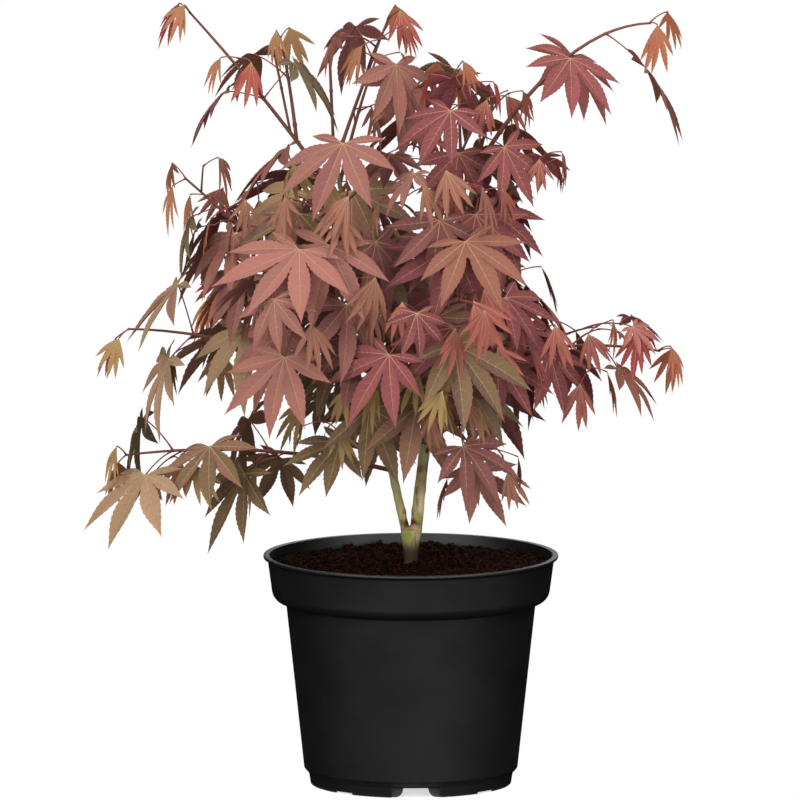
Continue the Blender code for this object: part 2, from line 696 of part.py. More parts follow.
def build_spray(name, shoot, twigs, leaves, cutters):
    """Joins the stem, the twigs and the leaves of one spray into a single solid."""
    shares = [shoot.first, *reversed(shoot.stations)]
    stem = arch_tube(shoot.arch, shares, SPRAY_RADII, TWIG_SIDES)
    spray = solid("spray_" + name, *stem, shoot.finish)
    joined = bpy.data.collections.new(name)
    bpy.context.scene.collection.children.link(joined)
    shapes = [arch_tube(t, even(0, 1, 2), TWIG_RADII, TWIG_SIDES) for t in twigs]
    shapes += [leaf_solid(leaf) for leaf in leaves]
    for points, faces in shapes:
        piece = solid("piece", points, faces, shoot.finish)
        bpy.context.scene.collection.objects.unlink(piece)
        joined.objects.link(piece)
    modifier = spray.modifiers.new("union", "BOOLEAN")
    modifier.operation = "UNION"
    modifier.solver = "MANIFOLD"
    modifier.operand_type = "COLLECTION"
    modifier.collection = joined
    if not shoot.bough:
        combine(spray, "DIFFERENCE", cutters[shoot.parent])
    graph = bpy.context.evaluated_depsgraph_get()
    mesh = bpy.data.meshes.new_from_object(spray.evaluated_get(graph))
    mesh.name = "spray_" + name
    spray.modifiers.clear()
    spray.data = mesh
    keep_largest(mesh)
    for piece in list(joined.objects):
        bpy.data.objects.remove(piece)
    bpy.data.collections.remove(joined)


def plan_crown():
    """All shoots, and the crown that holds the limbs' own shapes."""
    arches = stem_arches()
    shoots = {}
    for name, spec in SHOOTS.items():
        shoots[name] = Shoot(spec, arches)
        arches[name] = shoots[name].arch
    crown = Growth(shoots)
    rim = [Vector((0, 0, 0)), Vector((0, 0, RIM_HEIGHT + CLEARANCE))]
    crown.add("pot", *tube(rim, [UP, UP], [RIM_RADIUS + CLEARANCE] * 2, POT_SIDES))
    for name in STEMS:
        crown.add(name, *stem_tube(name, arches[name], CLEARANCE))
    for name in STUBS:
        crown.add(name, *stub_tube(name, arches, CLEARANCE))
    for name, shoot in shoots.items():
        if shoot.bough:
            crown.add("bough_" + name, *bough_tube(shoot, CLEARANCE))
        shares = [shoot.first or 0.1, *reversed(shoot.stations)]
        wide = [r + CLEARANCE for r in SPRAY_RADII]
        crown.add(name, *arch_tube(shoot.arch, shares, wide, TWIG_SIDES))
    return crown


def main():
    clear_scene()
    build_pot()
    build_soil()
    crown = plan_crown()
    sprays = {name: grow_spray(crown, name) for name in crown.shoots}
    cutters = build_limbs(crown.shoots)
    for name, (twigs, leaves) in sprays.items():
        build_spray(name, crown.shoots[name], twigs, leaves, cutters)
    print(sum(len(leaves) for _, leaves in sprays.values()), "leaves")


main()
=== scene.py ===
import json
import random
from functools import partial
from math import atan2, cos, exp, hypot, pi, radians, sin, sqrt, tan

import bmesh
import bpy
from mathutils import Matrix, Vector, noise
from mathutils.bvhtree import BVHTree

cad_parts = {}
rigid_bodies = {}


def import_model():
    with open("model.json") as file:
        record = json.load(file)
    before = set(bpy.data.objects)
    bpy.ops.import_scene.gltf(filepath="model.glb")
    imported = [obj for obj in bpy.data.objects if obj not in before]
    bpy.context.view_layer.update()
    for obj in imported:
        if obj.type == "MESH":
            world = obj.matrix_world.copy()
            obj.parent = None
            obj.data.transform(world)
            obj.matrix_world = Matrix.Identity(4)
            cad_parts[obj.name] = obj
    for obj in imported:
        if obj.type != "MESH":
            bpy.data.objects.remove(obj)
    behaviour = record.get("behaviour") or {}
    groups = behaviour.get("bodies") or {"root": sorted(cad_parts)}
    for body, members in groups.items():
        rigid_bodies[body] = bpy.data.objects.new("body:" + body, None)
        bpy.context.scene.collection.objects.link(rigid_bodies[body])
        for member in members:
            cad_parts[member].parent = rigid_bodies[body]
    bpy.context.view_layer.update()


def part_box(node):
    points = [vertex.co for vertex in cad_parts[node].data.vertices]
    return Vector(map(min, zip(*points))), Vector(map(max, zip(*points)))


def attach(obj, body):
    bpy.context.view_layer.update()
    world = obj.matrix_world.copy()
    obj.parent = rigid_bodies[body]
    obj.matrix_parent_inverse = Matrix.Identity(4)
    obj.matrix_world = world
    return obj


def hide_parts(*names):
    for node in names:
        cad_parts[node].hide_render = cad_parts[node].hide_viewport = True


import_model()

up = Vector((0, 0, 1))
mm = 0.001


# Shared helpers

class Values(dict):  # a dictionary whose values also read as attributes
    __getattr__ = dict.__getitem__


def linear(code):  # an sRGB hex colour as linear values
    parts = [int(code[i:i + 2], 16) / 255 for i in (1, 3, 5)]
    return (*[v / 12.92 if v <= 0.04045 else ((v + 0.055) / 1.055) ** 2.4 for v in parts], 1)


def addNode(tree, kind, sockets=None, into=None, **properties):
    made = tree.nodes.new("ShaderNode" + kind)
    for name, value in properties.items():
        setattr(made, name, value)
    for name, value in (sockets or {}).items():
        if isinstance(value, bpy.types.Node):
            value = value.outputs[0]
        if isinstance(value, bpy.types.NodeSocket):
            tree.links.new(value, made.inputs[name])
        else:
            made.inputs[name].default_value = value
    if into:  # a socket that its first output feeds
        tree.links.new(made.outputs[0], into)
    return made


def newFinish(name, colour, roughness, relief=None, **sockets):
    material = bpy.data.materials.new(name)
    material.use_nodes = True
    material.diffuse_color = linear(colour)
    shader = material.node_tree.nodes["Principled BSDF"]
    add = partial(addNode, material.node_tree)
    sockets = {"Base Color": linear(colour), "Roughness": roughness, **sockets}
    for socket, value in sockets.items():
        shader.inputs[socket.replace("_", " ")].default_value = value
    if relief:  # the size of its grain, and how detailed, how strong and how deep that is
        size, detail, strength, depth = relief
        place = add("TexCoord").outputs["Object"]
        grain = add("TexNoise", {"Vector": place, "Scale": 1 / size, "Detail": detail})
        add("Bump", {"Height": grain, "Strength": strength, "Distance": depth},
            shader.inputs["Normal"])
    return material, add, shader


def newFinishes(colours, roughness, relief, gloss):  # one for each named colour
    return [newFinish(name, colour, roughness, relief, Specular_IOR_Level=gloss)[0]
            for name, colour in colours.items()]


def newObject(name, data):
    made = bpy.data.objects.new(name, data)
    bpy.context.scene.collection.objects.link(made)
    return made


def newPiece(name, mesh, materials, slot, replaced=(), sharpAngle=None):
    piece = newObject(name, mesh)
    mesh.name = name
    for index, material in enumerate(materials):  # clearing the slots would lose the faces' tints
        if index == len(mesh.materials):
            mesh.materials.append(None)
        mesh.materials[index] = material
    mesh.shade_smooth()
    if sharpAngle:
        mesh.set_sharp_from_angle(angle=radians(sharpAngle))
    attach(piece, "root")
    if replaced:
        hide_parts(*replaced)
    print("made", name, "of", len(mesh.polygons), "faces")


def meshOf(shape, mesh=None):  # a bmesh as a mesh
    mesh = mesh or bpy.data.meshes.new("shape")
    shape.to_mesh(mesh)
    shape.free()
    return mesh


def evaluatedMesh(holder):  # the holder's mesh with its modifiers, and the holder removed
    graph = bpy.context.evaluated_depsgraph_get()
    mesh = bpy.data.meshes.new_from_object(holder.evaluated_get(graph))
    bpy.data.objects.remove(holder)
    return mesh


def closeUp(shape, distance):
    bmesh.ops.remove_doubles(shape, verts=shape.verts, dist=distance)
    bmesh.ops.recalc_face_normals(shape, faces=shape.faces)


def tubesMesh(lines, sides):  # lines are (points, radii, tint); one mesh of closed tapering tubes
    curve = bpy.data.curves.new("tubes", "CURVE")
    curve.dimensions = "3D"
    curve.bevel_depth = 1
    curve.bevel_resolution = (sides - 4) // 2
    curve.use_fill_caps = True
    for points, radii, tint in lines:
        spline = curve.splines.new("POLY")
        spline.points.add(len(points) - 1)
        for place, point, radius in zip(spline.points, points, radii):
            place.co = (*point, 1)
            place.radius = radius
        spline.material_index = tint
    for _ in range(1 + max(tint for _, _, tint in lines)):
        curve.materials.append(None)
    mesh = evaluatedMesh(newObject("tubes", curve))
    shape = bmesh.new()
    shape.from_mesh(mesh)
    closeUp(shape, 0.002 * mm)
    return meshOf(shape, mesh)


def even(first, last, steps):
    return [first + (last - first) * i / steps for i in range(steps + 1)]


# The rule by which the plant grows. It repeats the CAD source's own, with the same draws in
# the same order, so that every leaf hangs where its solid does.

gap = 0.3 * mm
pot = Values(
    rimRadius=0.095, rimHeight=0.1485, wall=0.0013, lip=0.0016,
    bandTop=0.0923, bandFoot=0.0892, bandFootHeight=0.1228, bandHeel=(0.0030, 0.0034),
    bodyTop=0.0805, bodyTopHeight=0.1182, bodyFoot=0.0688, bodyFootHeight=0.0105,
    skirt=0.0646, skirtTop=0.0072, skirtStep=0.0012, floor=0.0070, pad=0.026,
    ruleSides=36,  # of the rim in the rule's clearance test
    notches=2, notchTurn=3, notchWidth=0.0315, notchHeight=0.0066,
    lifts=4, footEnd=39,
    footLift=0.0013, heelWidth=0.0075, heelRound=0.0052, heelInner=0.046,
    cutPast=0.004, steps=144, sharpAngle=32,
    colour="#0c0c0d", roughness=(0.47, 0.54),
)
soilTop = 0.141
trunk = ((0.0, 0.0050), (0.004, 0.0044), (0.012, 0.0052), (0.019, 0.0062))  # up to the fork
stems = {  # foot, tip, sideways bow in X, radius at foot and tip
    "stem_left": ((-0.0036, 0.0, 0.1650), (-0.0500, 0.005, 0.4190), -0.003, 0.0029, 0.0012),
    "stem_right": ((0.0034, 0.0, 0.1650), (0.0440, -0.002, 0.4030), -0.005, 0.0040, 0.0014),
}
stemSides, stemSteps = 8, 8
# colour, limb, share of the limb where it leaves, share that is bough, tip and rise in mm,
# pairs of grown leaves, side twigs, length of a grown leaf in mm, seed
shoots = {
    "left_top": ("plum", "stem_left", 0.83, 0.4, (-142, -12, 502), 4, 1, 1, 50, 378),
    "left_inner": ("bronze", "left_top", 0.30, 0, (-84, 5, 484), 6, 1, 0, 46, 322),
    "top_left": ("plum", "stem_left", 0.94, 0, (-14, 4, 497), 2, 1, 1, 50, 322),
    "top_front": ("bronze", "stem_left", 0.76, 0, (-62, -62, 408), 2, 2, 0, 50, 77),
    "top_back": ("plum", "stem_left", 0.88, 0, (-22, 38, 466), 5, 1, 0, 48, 323),
    "top_middle": ("plum", "stem_right", 0.73, 0.4, (12, 12, 458), 6, 3, 1, 52, 16),
    "top_inner": ("rose", "stem_right", 0.82, 0.4, (30, 10, 462), 0, 2, 1, 48, 192),
    "right_top": ("rose", "stem_right", 1.00, 0.4, (154, -5, 494), 22, 2, 0, 54, 138),
    "right_short": ("rose", "stem_right", 0.92, 0, (54, -30, 450), 4, 1, 1, 46, 347),
    "right_upper": ("rose", "stem_right", 0.66, 0.4, (84, -26, 404), 11, 2, 0, 44, 347),
    "right_middle": ("rose", "stem_right", 0.55, 0.4, (74, -52, 322), 11, 2, 0, 50, 6),
    "right_low": ("rose", "stem_right", 0.42, 0.4, (160, -22, 284), 10, 2, 1, 47, 151),
    "left_upper": ("plum", "stem_left", 0.46, 0.4, (-145, -28, 397), 2, 3, 2, 48, 166),
    "left_middle": ("bronze", "stem_left", 0.33, 0.4, (-182, -6, 296), 11, 2, 0, 56, 232),
    "left_low": ("bronze", "stem_left", 0.15, 0.4, (-184, -6, 214), 8, 3, 0, 58, 396),
    "front_low_left": ("bronze", "stem_left", 0.22, 0, (-56, -66, 244), 14, 1, 1, 50, 390),
    "front_low_right": ("plum", "stem_right", 0.20, 0, (52, -62, 226), 18, 1, 1, 48, 199),
    "front_low": ("bronze", "stem_right", 0.28, 0, (-2, -90, 268), 18, 1, 2, 58, 360),
    "front_left": ("plum", "stem_left", 0.38, 0.4, (-76, -112, 327), 20, 3, 2, 61, 188),
    "front_middle": ("rose", "stem_right", 0.46, 0.4, (10, -125, 319), 17, 3, 2, 58, 121),
    "front_right": ("rose", "stem_right", 0.36, 0.4, (62, -98, 300), 16, 2, 2, 54, 297),
    "front_high_left": ("plum", "stem_left", 0.58, 0.4, (-60, -90, 385), 13, 3, 2, 57, 321),
    "front_high": ("plum", "stem_right", 0.63, 0, (-8, -97, 390), 15, 1, 1, 53, 370),
    "front_high_right": ("rose", "stem_right", 0.76, 0, (48, -65, 394), 8, 2, 0, 50, 322),
    "back_low_left": ("bronze", "stem_left", 0.27, 0, (-58, 104, 247), 12, 1, 1, 60, 193),
    "back_low_right": ("plum", "stem_right", 0.26, 0, (58, 117, 256), 16, 2, 1, 58, 216),
    "back_left": ("plum", "stem_left", 0.50, 0.4, (-122, 100, 312), 14, 2, 1, 60, 208),
    "back_right": ("rose", "stem_right", 0.50, 0.4, (94, 102, 286), 13, 1, 1, 58, 245),
    "back_middle": ("bronze", "stem_right", 0.59, 0.4, (0, 150, 330), 14, 3, 1, 60, 132),
    "back_high_left": ("plum", "stem_left", 0.68, 0, (-66, 86, 368), 9, 2, 1, 52, 305),
    "back_high_right": ("rose", "stem_right", 0.78, 0, (38, 87, 388), 13, 1, 1, 52, 360),
}
stubs = {  # cut stubs: limb, share of the limb, tip, radius
    "stub_middle": ("stem_left", 1.0, (-0.0525, 0.006, 0.4790), 0.0011),
    "stub_left": ("left_top", 0.34, (-0.0890, 0.002, 0.4800), 0.0009),
    "stub_right": ("right_upper", 0.22, (0.0720, -0.006, 0.4180), 0.0013),
}
rule = Values(
    boughRadii=(0.0015, 0.0012), boughSides=5, boughSteps=3,
    sprayRadii=(0.0013, 0.0010), sprayFoot=0.1, twigSides=3,
    firstLeaf=0.42, lastGap=0.2, rootSink=0.0010,
    petioleShare=0.55, petioleRadius=0.00045,
    fan=(radians(35), radians(17)), sinus=(0.25, 0.38),  # of a grown leaf, and of a young one
    lobeFall=0.6, lobeWidth=0.115, shoulder=0.54, shoulderSink=0.3, footWidth=1.5,
    youngShare=0.60, leafThickness=0.015, leafLoss=0.12, tries=12,
    clearance=0.0012, stalkTested=0.2,
    spaceSlack=0.022, spine=(0.30, 0.07, 11),  # its own space lies round these shares
)
sideTwig = Values(
    length=0.050, scatter=(0.8, 1.2), radii=(0.0010, 0.0008), rise=0.003,
    spread=radians(42), lift=0.3, tested=0.15, middle=0.7, stations=(1, 0.5),
)
habit = Values(  # how leaves vary: angles in degrees, and the rest as shares
    turn=24, forward=(0.30, 0.75), lift=(-0.10, 0.45), stalk=(0.65, 1.25),
    hang=((15, 50), (4, 24)), droop=((0.05, 0.22), (0.02, 0.10)),  # grown, and young
    roll=28, sway=22, size=(0.85, 1.12), lobes=7, lobeTurn=5, lobeSize=(0.93, 1.07),
    steepest=0.35, outward=0.35, stalkDroop=0.15, quarter=0.5, tipward=0.5,
)


class Arch:  # a curve from a start to a tip that rises over its chord
    def __init__(self, start, tip, rise, bow=0.0):
        self.start, self.tip = Vector(start), Vector(tip)
        self.knee = (self.start + self.tip) / 2 + up * 2 * rise + Vector((2 * bow, 0, 0))

    def point(self, t):
        return self.start * (1 - t) ** 2 + self.knee * 2 * t * (1 - t) + self.tip * t * t

    def along(self, t):
        way = (self.knee - self.start) * (1 - t) + (self.tip - self.knee) * t
        return way.normalized()

    def length(self):
        stops = [self.point(t) for t in even(0, 1, 12)]
        return sum((b - a).length for a, b in zip(stops, stops[1:]))


def tube(centres, ways, radii, sides):  # the coarse tube of the rule's clearance tests
    points, faces = [], []
    across = ways[0].orthogonal()
    for centre, way, radius in zip(centres, ways, radii):
        across = (across - way * across.dot(way)).normalized()
        other = way.cross(across)
        for turn in even(0, 2 * pi, sides)[:-1]:
            points.append(centre + (across * cos(turn) + other * sin(turn)) * radius)
    for first in range(0, len(points) - sides, sides):
        for k in range(sides):
            a, b = first + k, first + (k + 1) % sides
            faces.append((a, b, b + sides, a + sides))
    faces.append(tuple(range(sides - 1, -1, -1)))
    faces.append(tuple(range(len(points) - sides, len(points))))
    return points, faces


def archTube(arch, shares, radii, sides, grow=0.0):
    run = shares[-1] - shares[0]
    centres = [arch.point(t) for t in shares]
    ways = [arch.along(t) for t in shares]
    widths = [radii[0] + (radii[1] - radii[0]) * (t - shares[0]) / run + grow for t in shares]
    if grow:
        centres[0] = centres[0] - ways[0] * grow
        centres[-1] = centres[-1] + ways[-1] * grow
    return tube(centres, ways, widths, sides)


class Shoot:
    def __init__(self, spec, arches):
        self.tone, self.parent, share, self.bough, tip, rise, pairs, *spray = spec
        self.twigs, leaf, self.seed = spray
        self.leaf = leaf / 1000
        start = arches[self.parent].point(share)
        self.arch = Arch(start, [c / 1000 for c in tip], rise / 1000)
        self.first = self.bough and self.bough + gap / self.arch.length()
        self.rng = random.Random(self.seed)
        first, step, count = rule.spine
        self.spine = [self.arch.point(first + step * i) for i in range(count)]
        # pairs of leaves stand at even distances, the last of them at the tip
        run = 1 - rule.firstLeaf
        self.stations = [1 - run * n / (pairs + rule.lastGap) for n in range(pairs + 1)]

    def distance(self, point):
        return min((point - p).length for p in self.spine)


def lobePlan(length, young, draws):  # the turn and length of each lobe, then of each valley
    fan, reach = rule.fan[young], 2 if young else 3
    depth = length * rule.sinus[young]
    tips, valleys = [], []
    for n, (turn, size, _) in zip(range(-reach, reach + 1), draws):
        size = length * cos(rule.lobeFall * n * rule.fan[0]) * size
        tips.append((n * fan + turn, size))
    for n, one, other in zip(range(-reach, reach), tips, tips[1:]):
        distance = depth * cos(rule.lobeFall * (n + 0.5) * rule.fan[0])
        valleys.append(((one[0] + other[0]) / 2, distance))
    return tips, valleys


def coarseBlade(base, down, side, face, length, young, draws, lean, thick):
    foot, sunk = rule.petioleRadius, rule.shoulderSink
    spread = atan2(rule.lobeWidth, rule.shoulder)
    tips, valleys = lobePlan(length, young, draws)

    def at(turn, distance, sink):
        return base + (down * cos(turn) + side * sin(turn)) * distance - face * sink

    outline = [base - side * foot * rule.footWidth - down * foot]
    for i, (turn, size) in enumerate(tips):
        sink, shoulder = size * draws[i][2], size * hypot(rule.lobeWidth, rule.shoulder)
        marks = [(turn - spread, shoulder, sink * sunk), (turn, size, sink),
                 (turn + spread, shoulder, sink * sunk)]
        narrow = young or i in (0, len(tips) - 1)
        outline += [at(*mark) for mark in (marks[1:2] if narrow else marks)]
        if i < len(valleys):
            outline.append(at(*valleys[i], 0))
    outline.append(base + side * foot * rule.footWidth - down * foot)
    crest = (face - down * lean) * thick * length / 2
    count = len(outline)
    faces = [(count, i, i + 1) for i in range(count - 1)]
    faces += [(count + 1, i + 1, i) for i in range(count - 1)]
    return outline + [base + crest, base - crest], faces


def swing(rng, kind):  # a turn either way by up to the habit's angle
    return radians(rng.uniform(-habit[kind], habit[kind]))


def leafDraw(rng, twig, share, quarter, length, young, axisOut):
    along = twig.along(share)
    level = along.cross(up)
    if level.length < habit.steepest:
        level = axisOut.cross(up)
    level.normalize()
    rise = level.cross(along).normalized()
    turn = quarter + swing(rng, "turn")
    way = level * cos(turn) + rise * sin(turn)
    way = way + along * rng.uniform(*habit.forward) + up * rng.uniform(*habit.lift)
    way.normalize()
    stalk = length * rule.petioleShare * rng.uniform(*habit.stalk)
    root = twig.point(share)
    if share == 1:
        root = root - along * rule.rootSink
    out = (Vector((way.x, way.y, 0)) + axisOut * habit.outward).normalized()
    hang = radians(rng.uniform(*habit.hang[young]))
    down = -up * cos(hang) + out * sin(hang)
    face = out * cos(hang) + up * sin(hang)
    roll = Matrix.Rotation(swing(rng, "roll"), 3, face)
    sway = Matrix.Rotation(swing(rng, "sway"), 3, "Z")
    down, face = sway @ (roll @ down), sway @ face
    side = face.cross(down)
    way = (way * (1 - habit.stalkDroop) + down * habit.stalkDroop).normalized()
    base = root + way * stalk
    lean = min(1.0, max(-1.0, way.dot(face) / (1.001 + way.dot(down))))
    size = length * rng.uniform(*habit.size)
    lobes = []
    for _ in range(habit.lobes):
        turn = swing(rng, "lobeTurn")
        stretch, droop = rng.uniform(*habit.lobeSize), rng.uniform(*habit.droop[young])
        lobes.append((turn, stretch, droop))
    return Values(root=root, blade=(base, down, side, face, size, young, lobes, lean))


def ball(points):  # the middle and the radius of what holds them
    middle = sum(points, Vector()) / len(points)
    return middle, max((p - middle).length for p in points)


class Growth:  # what has grown so far, to keep each new twig and leaf clear of it
    def __init__(self, shoots):
        self.shoots, self.grown = shoots, []

    def add(self, tag, points, faces):
        self.grown.append((tag, *ball(points), BVHTree.FromPolygons(points, faces)))

    def clear(self, points, faces, skip=()):
        middle, radius = ball(points)
        tree = BVHTree.FromPolygons(points, faces)
        return not any(
            tag not in skip and (middle - place).length <= radius + reach and tree.overlap(other)
            for tag, place, reach, other in self.grown)

    def ownSpace(self, name, point):
        own = self.shoots[name].distance(point) - rule.spaceSlack
        return all(own <= s.distance(point) for n, s in self.shoots.items() if n != name)


def stalkTube(leaf):
    root, base = leaf.root, leaf.blade[0]
    way = (base - root).normalized()
    ends = [root.lerp(base, rule.stalkTested), base]
    return tube(ends, [way, way], [rule.petioleRadius + rule.clearance / 2] * 2, 3)


def growLeaf(crown, name, rng, twig, tag, share, quarter, length, young, axisOut):
    for _ in range(rule.tries):
        leaf = leafDraw(rng, twig, share, quarter, length, young, axisOut)
        base, down, _, _, size, *_ = leaf.blade
        if not crown.ownSpace(name, base + down * size * 0.5):
            continue
        thick = rule.leafThickness + 2 * rule.clearance / length
        blade, stalk = coarseBlade(*leaf.blade, thick), stalkTube(leaf)
        if crown.clear(*blade) and crown.clear(*stalk, skip=(tag, (tag, share))):
            crown.add("blade", *blade)
            crown.add((tag, share), *stalk)
            return leaf
    return None


def newTwig(rng, arch, share, level, turn, lift, look):
    way = arch.along(share) * cos(look.spread) + level * turn * sin(look.spread) + up * lift
    start = arch.point(share)
    tip = start + way.normalized() * look.length * rng.uniform(*look.scatter)
    return Arch(start, tip, look.rise)


def sideTwigs(crown, name, shoot):
    twigs, rng = [], shoot.rng
    radii = [r + rule.clearance for r in sideTwig.radii]
    for n in range(shoot.twigs):
        share = shoot.stations[-1 - n]
        level = shoot.arch.along(share).cross(up).normalized()
        side = rng.choice((-1, 1))
        for turn in (side, -side):
            lift = rng.uniform(0.0, sideTwig.lift)
            twig = newTwig(rng, shoot.arch, share, level, turn, lift, sideTwig)
            inside = crown.ownSpace(name, twig.point(sideTwig.middle))
            outer = archTube(twig, even(sideTwig.tested, 1, 2), radii, rule.twigSides)
            if inside and crown.clear(*outer, skip=(name,)):
                crown.add((name, n), *archTube(twig, even(0, 1, 2), radii, rule.twigSides))
                twigs.append((twig, (name, n), sideTwig.stations))
                break
    return twigs


def growSpray(crown, name):  # its twigs, and its leaves with the twig and station of each
    shoot = crown.shoots[name]
    tip, rng = shoot.arch.tip, shoot.rng
    twigs = sideTwigs(crown, name, shoot)
    leaves = []
    for twig, tag, stations in [(shoot.arch, name, shoot.stations), *twigs]:
        quarter = rng.uniform(-habit.quarter, habit.quarter)
        for share in stations:
            young = share == 1
            length = shoot.leaf * (rule.youngShare if young else 1)
            out = twig.point(share) + tip * habit.tipward
            axisOut = Vector((out.x, out.y, 0)).normalized()
            for turn in (quarter, quarter + pi):
                if rng.random() < rule.leafLoss:
                    continue
                leaf = growLeaf(crown, name, rng, twig, tag, share, turn, length, young, axisOut)
                if leaf:
                    leaves.append(leaf)
            quarter += pi / 2
    return twigs, leaves


def planCrown():
    arches = {name: Arch(foot, tip, 0, bow) for name, (foot, tip, bow, *_) in stems.items()}
    plan = {}
    for name, spec in shoots.items():
        plan[name] = Shoot(spec, arches)
        arches[name] = plan[name].arch
    crown = Growth(plan)
    wide = rule.clearance
    rim = [Vector((0, 0, 0)), Vector((0, 0, pot.rimHeight + wide))]
    crown.add("pot", *tube(rim, [up, up], [pot.rimRadius + wide] * 2, pot.ruleSides))
    for name in stems:
        shares = even(0, 1, stemSteps)
        crown.add(name, *archTube(arches[name], shares, stems[name][3:], stemSides, wide))
    for name, (parent, share, tip, radius) in stubs.items():
        arches[name] = Arch(arches[parent].point(share), tip, 0)
        shape = archTube(arches[name], even(0, 1, 2), (radius, radius), rule.boughSides, wide)
        crown.add(name, *shape)
    for name, shoot in plan.items():
        if shoot.bough:
            shares = even(0, shoot.bough, rule.boughSteps)
            shape = archTube(shoot.arch, shares, rule.boughRadii, rule.boughSides, wide)
            crown.add("bough_" + name, *shape)
        shares = [shoot.first or rule.sprayFoot, *reversed(shoot.stations)]
        widths = [r + wide for r in rule.sprayRadii]
        crown.add(name, *archTube(shoot.arch, shares, widths, rule.twigSides))
    return crown, arches


crown, arches = planCrown()
sprays = {name: growSpray(crown, name) for name in crown.shoots}
print("grew", sum(len(leaves) for _, leaves in sprays.values()), "leaves as in the CAD")


# Finer growth within each spray's reach: thin twigs between its pairs, with small leaves.
# More of them are left out at the top, where the crown is open.

fine = Values(
    length=0.024, scatter=(0.7, 1.15), radii=(0.0007, 0.0005), rise=0.002, spread=radians(52),
    roll=0.9, tested=0.3, tail=0.1, slack=0.004, leafShare=0.62, youngShare=0.6,
    loss=(0.35, 0.8), topHeight=0.400, reseed=1000,
)


def growFine(crown, name, twigs):
    shoot = crown.shoots[name]
    rng = random.Random(shoot.seed + fine.reseed)
    low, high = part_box("spray_" + name)
    widths = [r + rule.clearance / 2 for r in fine.radii]
    loss = fine.loss[shoot.arch.tip.z > fine.topHeight]
    length = shoot.leaf * fine.leafShare
    fineTwigs, leaves = [], []

    def inReach(point):
        slack = fine.slack
        return all(a - slack < c < b + slack for a, c, b in zip(low, point, high))

    def growOne(arch, tag, share, turn):
        along = arch.along(share)
        roll = Matrix.Rotation(rng.uniform(-fine.roll, fine.roll), 3, along)
        twig = newTwig(rng, arch, share, roll @ along.cross(up).normalized(), turn, 0, fine)
        outer = archTube(twig, even(fine.tested, 1, 2), widths, rule.twigSides)
        if not inReach(twig.tip) or not crown.clear(*outer, skip=(tag,)):
            return
        fineTag = (name, "fine", len(fineTwigs))
        axisOut = Vector((twig.tip.x, twig.tip.y, 0)).normalized()
        grown = []
        for quarter in (0, pi):
            young = rng.random() < fine.youngShare
            leaf = growLeaf(crown, name, rng, twig, fineTag, 1, quarter, length, young, axisOut)
            if leaf and inReach(leaf.blade[0] + leaf.blade[1] * leaf.blade[4]):
                grown.append(leaf)
        if grown:
            crown.add(fineTag, *outer)
            fineTwigs.append((twig, fineTag, [1]))
            leaves.extend(grown)

    for arch, tag, stations in [(shoot.arch, name, shoot.stations), *twigs]:
        middles = [(a + b) / 2 for a, b in zip(stations, stations[1:])]
        if arch is shoot.arch:
            middles.append(stations[-1] - fine.tail)
        for share in middles:
            for turn in (-1, 1):
                if rng.random() >= loss:
                    growOne(arch, tag, share, turn)
    return fineTwigs, leaves


fineSprays = {name: growFine(crown, name, sprays[name][0]) for name in crown.shoots}
print("grew", sum(len(leaves) for _, leaves in fineSprays.values()), "small leaves between them")


# Container: a nursery pot, injection moulded in one piece

def roundedChain(shape, corners):  # corners are (radius, height, rounding)
    points = [shape.verts.new((radius, 0, height)) for radius, height, _ in corners]
    for pair in zip(points, points[1:]):
        shape.edges.new(pair)
    for point, (_, _, rounding) in zip(points, corners):
        if rounding:
            bmesh.ops.bevel(shape, geom=[point], offset=rounding, offset_type="OFFSET",
                            segments=4, profile=0.5, affect="VERTICES", material=-1)


def spun(shape, steps):
    bmesh.ops.spin(shape, geom=shape.verts[:] + shape.edges[:], cent=(0, 0, 0), axis=(0, 0, 1),
                   angle=2 * pi, steps=steps, use_merge=True)
    closeUp(shape, 0.01 * mm)


def block(outline, near, far, turn):  # an outline of (sideways, height) drawn out on a radius
    shape = bmesh.new()
    face = shape.faces.new([shape.verts.new((x, -near, z)) for x, z in outline])
    grown = bmesh.ops.extrude_face_region(shape, geom=[face])["geom"]
    moved = [v for v in grown if isinstance(v, bmesh.types.BMVert)]
    bmesh.ops.translate(shape, verts=moved, vec=(0, near - far, 0))
    bmesh.ops.rotate(shape, verts=shape.verts, cent=(0, 0, 0),
                     matrix=Matrix.Rotation(turn, 3, "Z"))
    bmesh.ops.recalc_face_normals(shape, faces=shape.faces)
    return newObject("block", meshOf(shape))


def innerCorners():  # up the inside, from the middle of the floor to the lip
    wall, floor, pad = pot.wall, pot.floor + pot.wall, pot.pad
    foot, top, height = pot.bodyFoot, pot.bodyTop, pot.bodyTopHeight
    return [
        (0, wall, 0), (pad - 2 * wall, wall, 0), (pad - wall, floor, 0),
        (foot - 2 * wall, floor, 0), (foot - wall, floor + 2 * wall, 0),
        (top - wall, height + wall, 1.0 * mm),
        (pot.bandFoot - 2 * wall, height + 2 * wall, 1.5 * mm),
        (pot.bandFoot - wall, pot.bandFootHeight, 1.5 * mm),
    ]


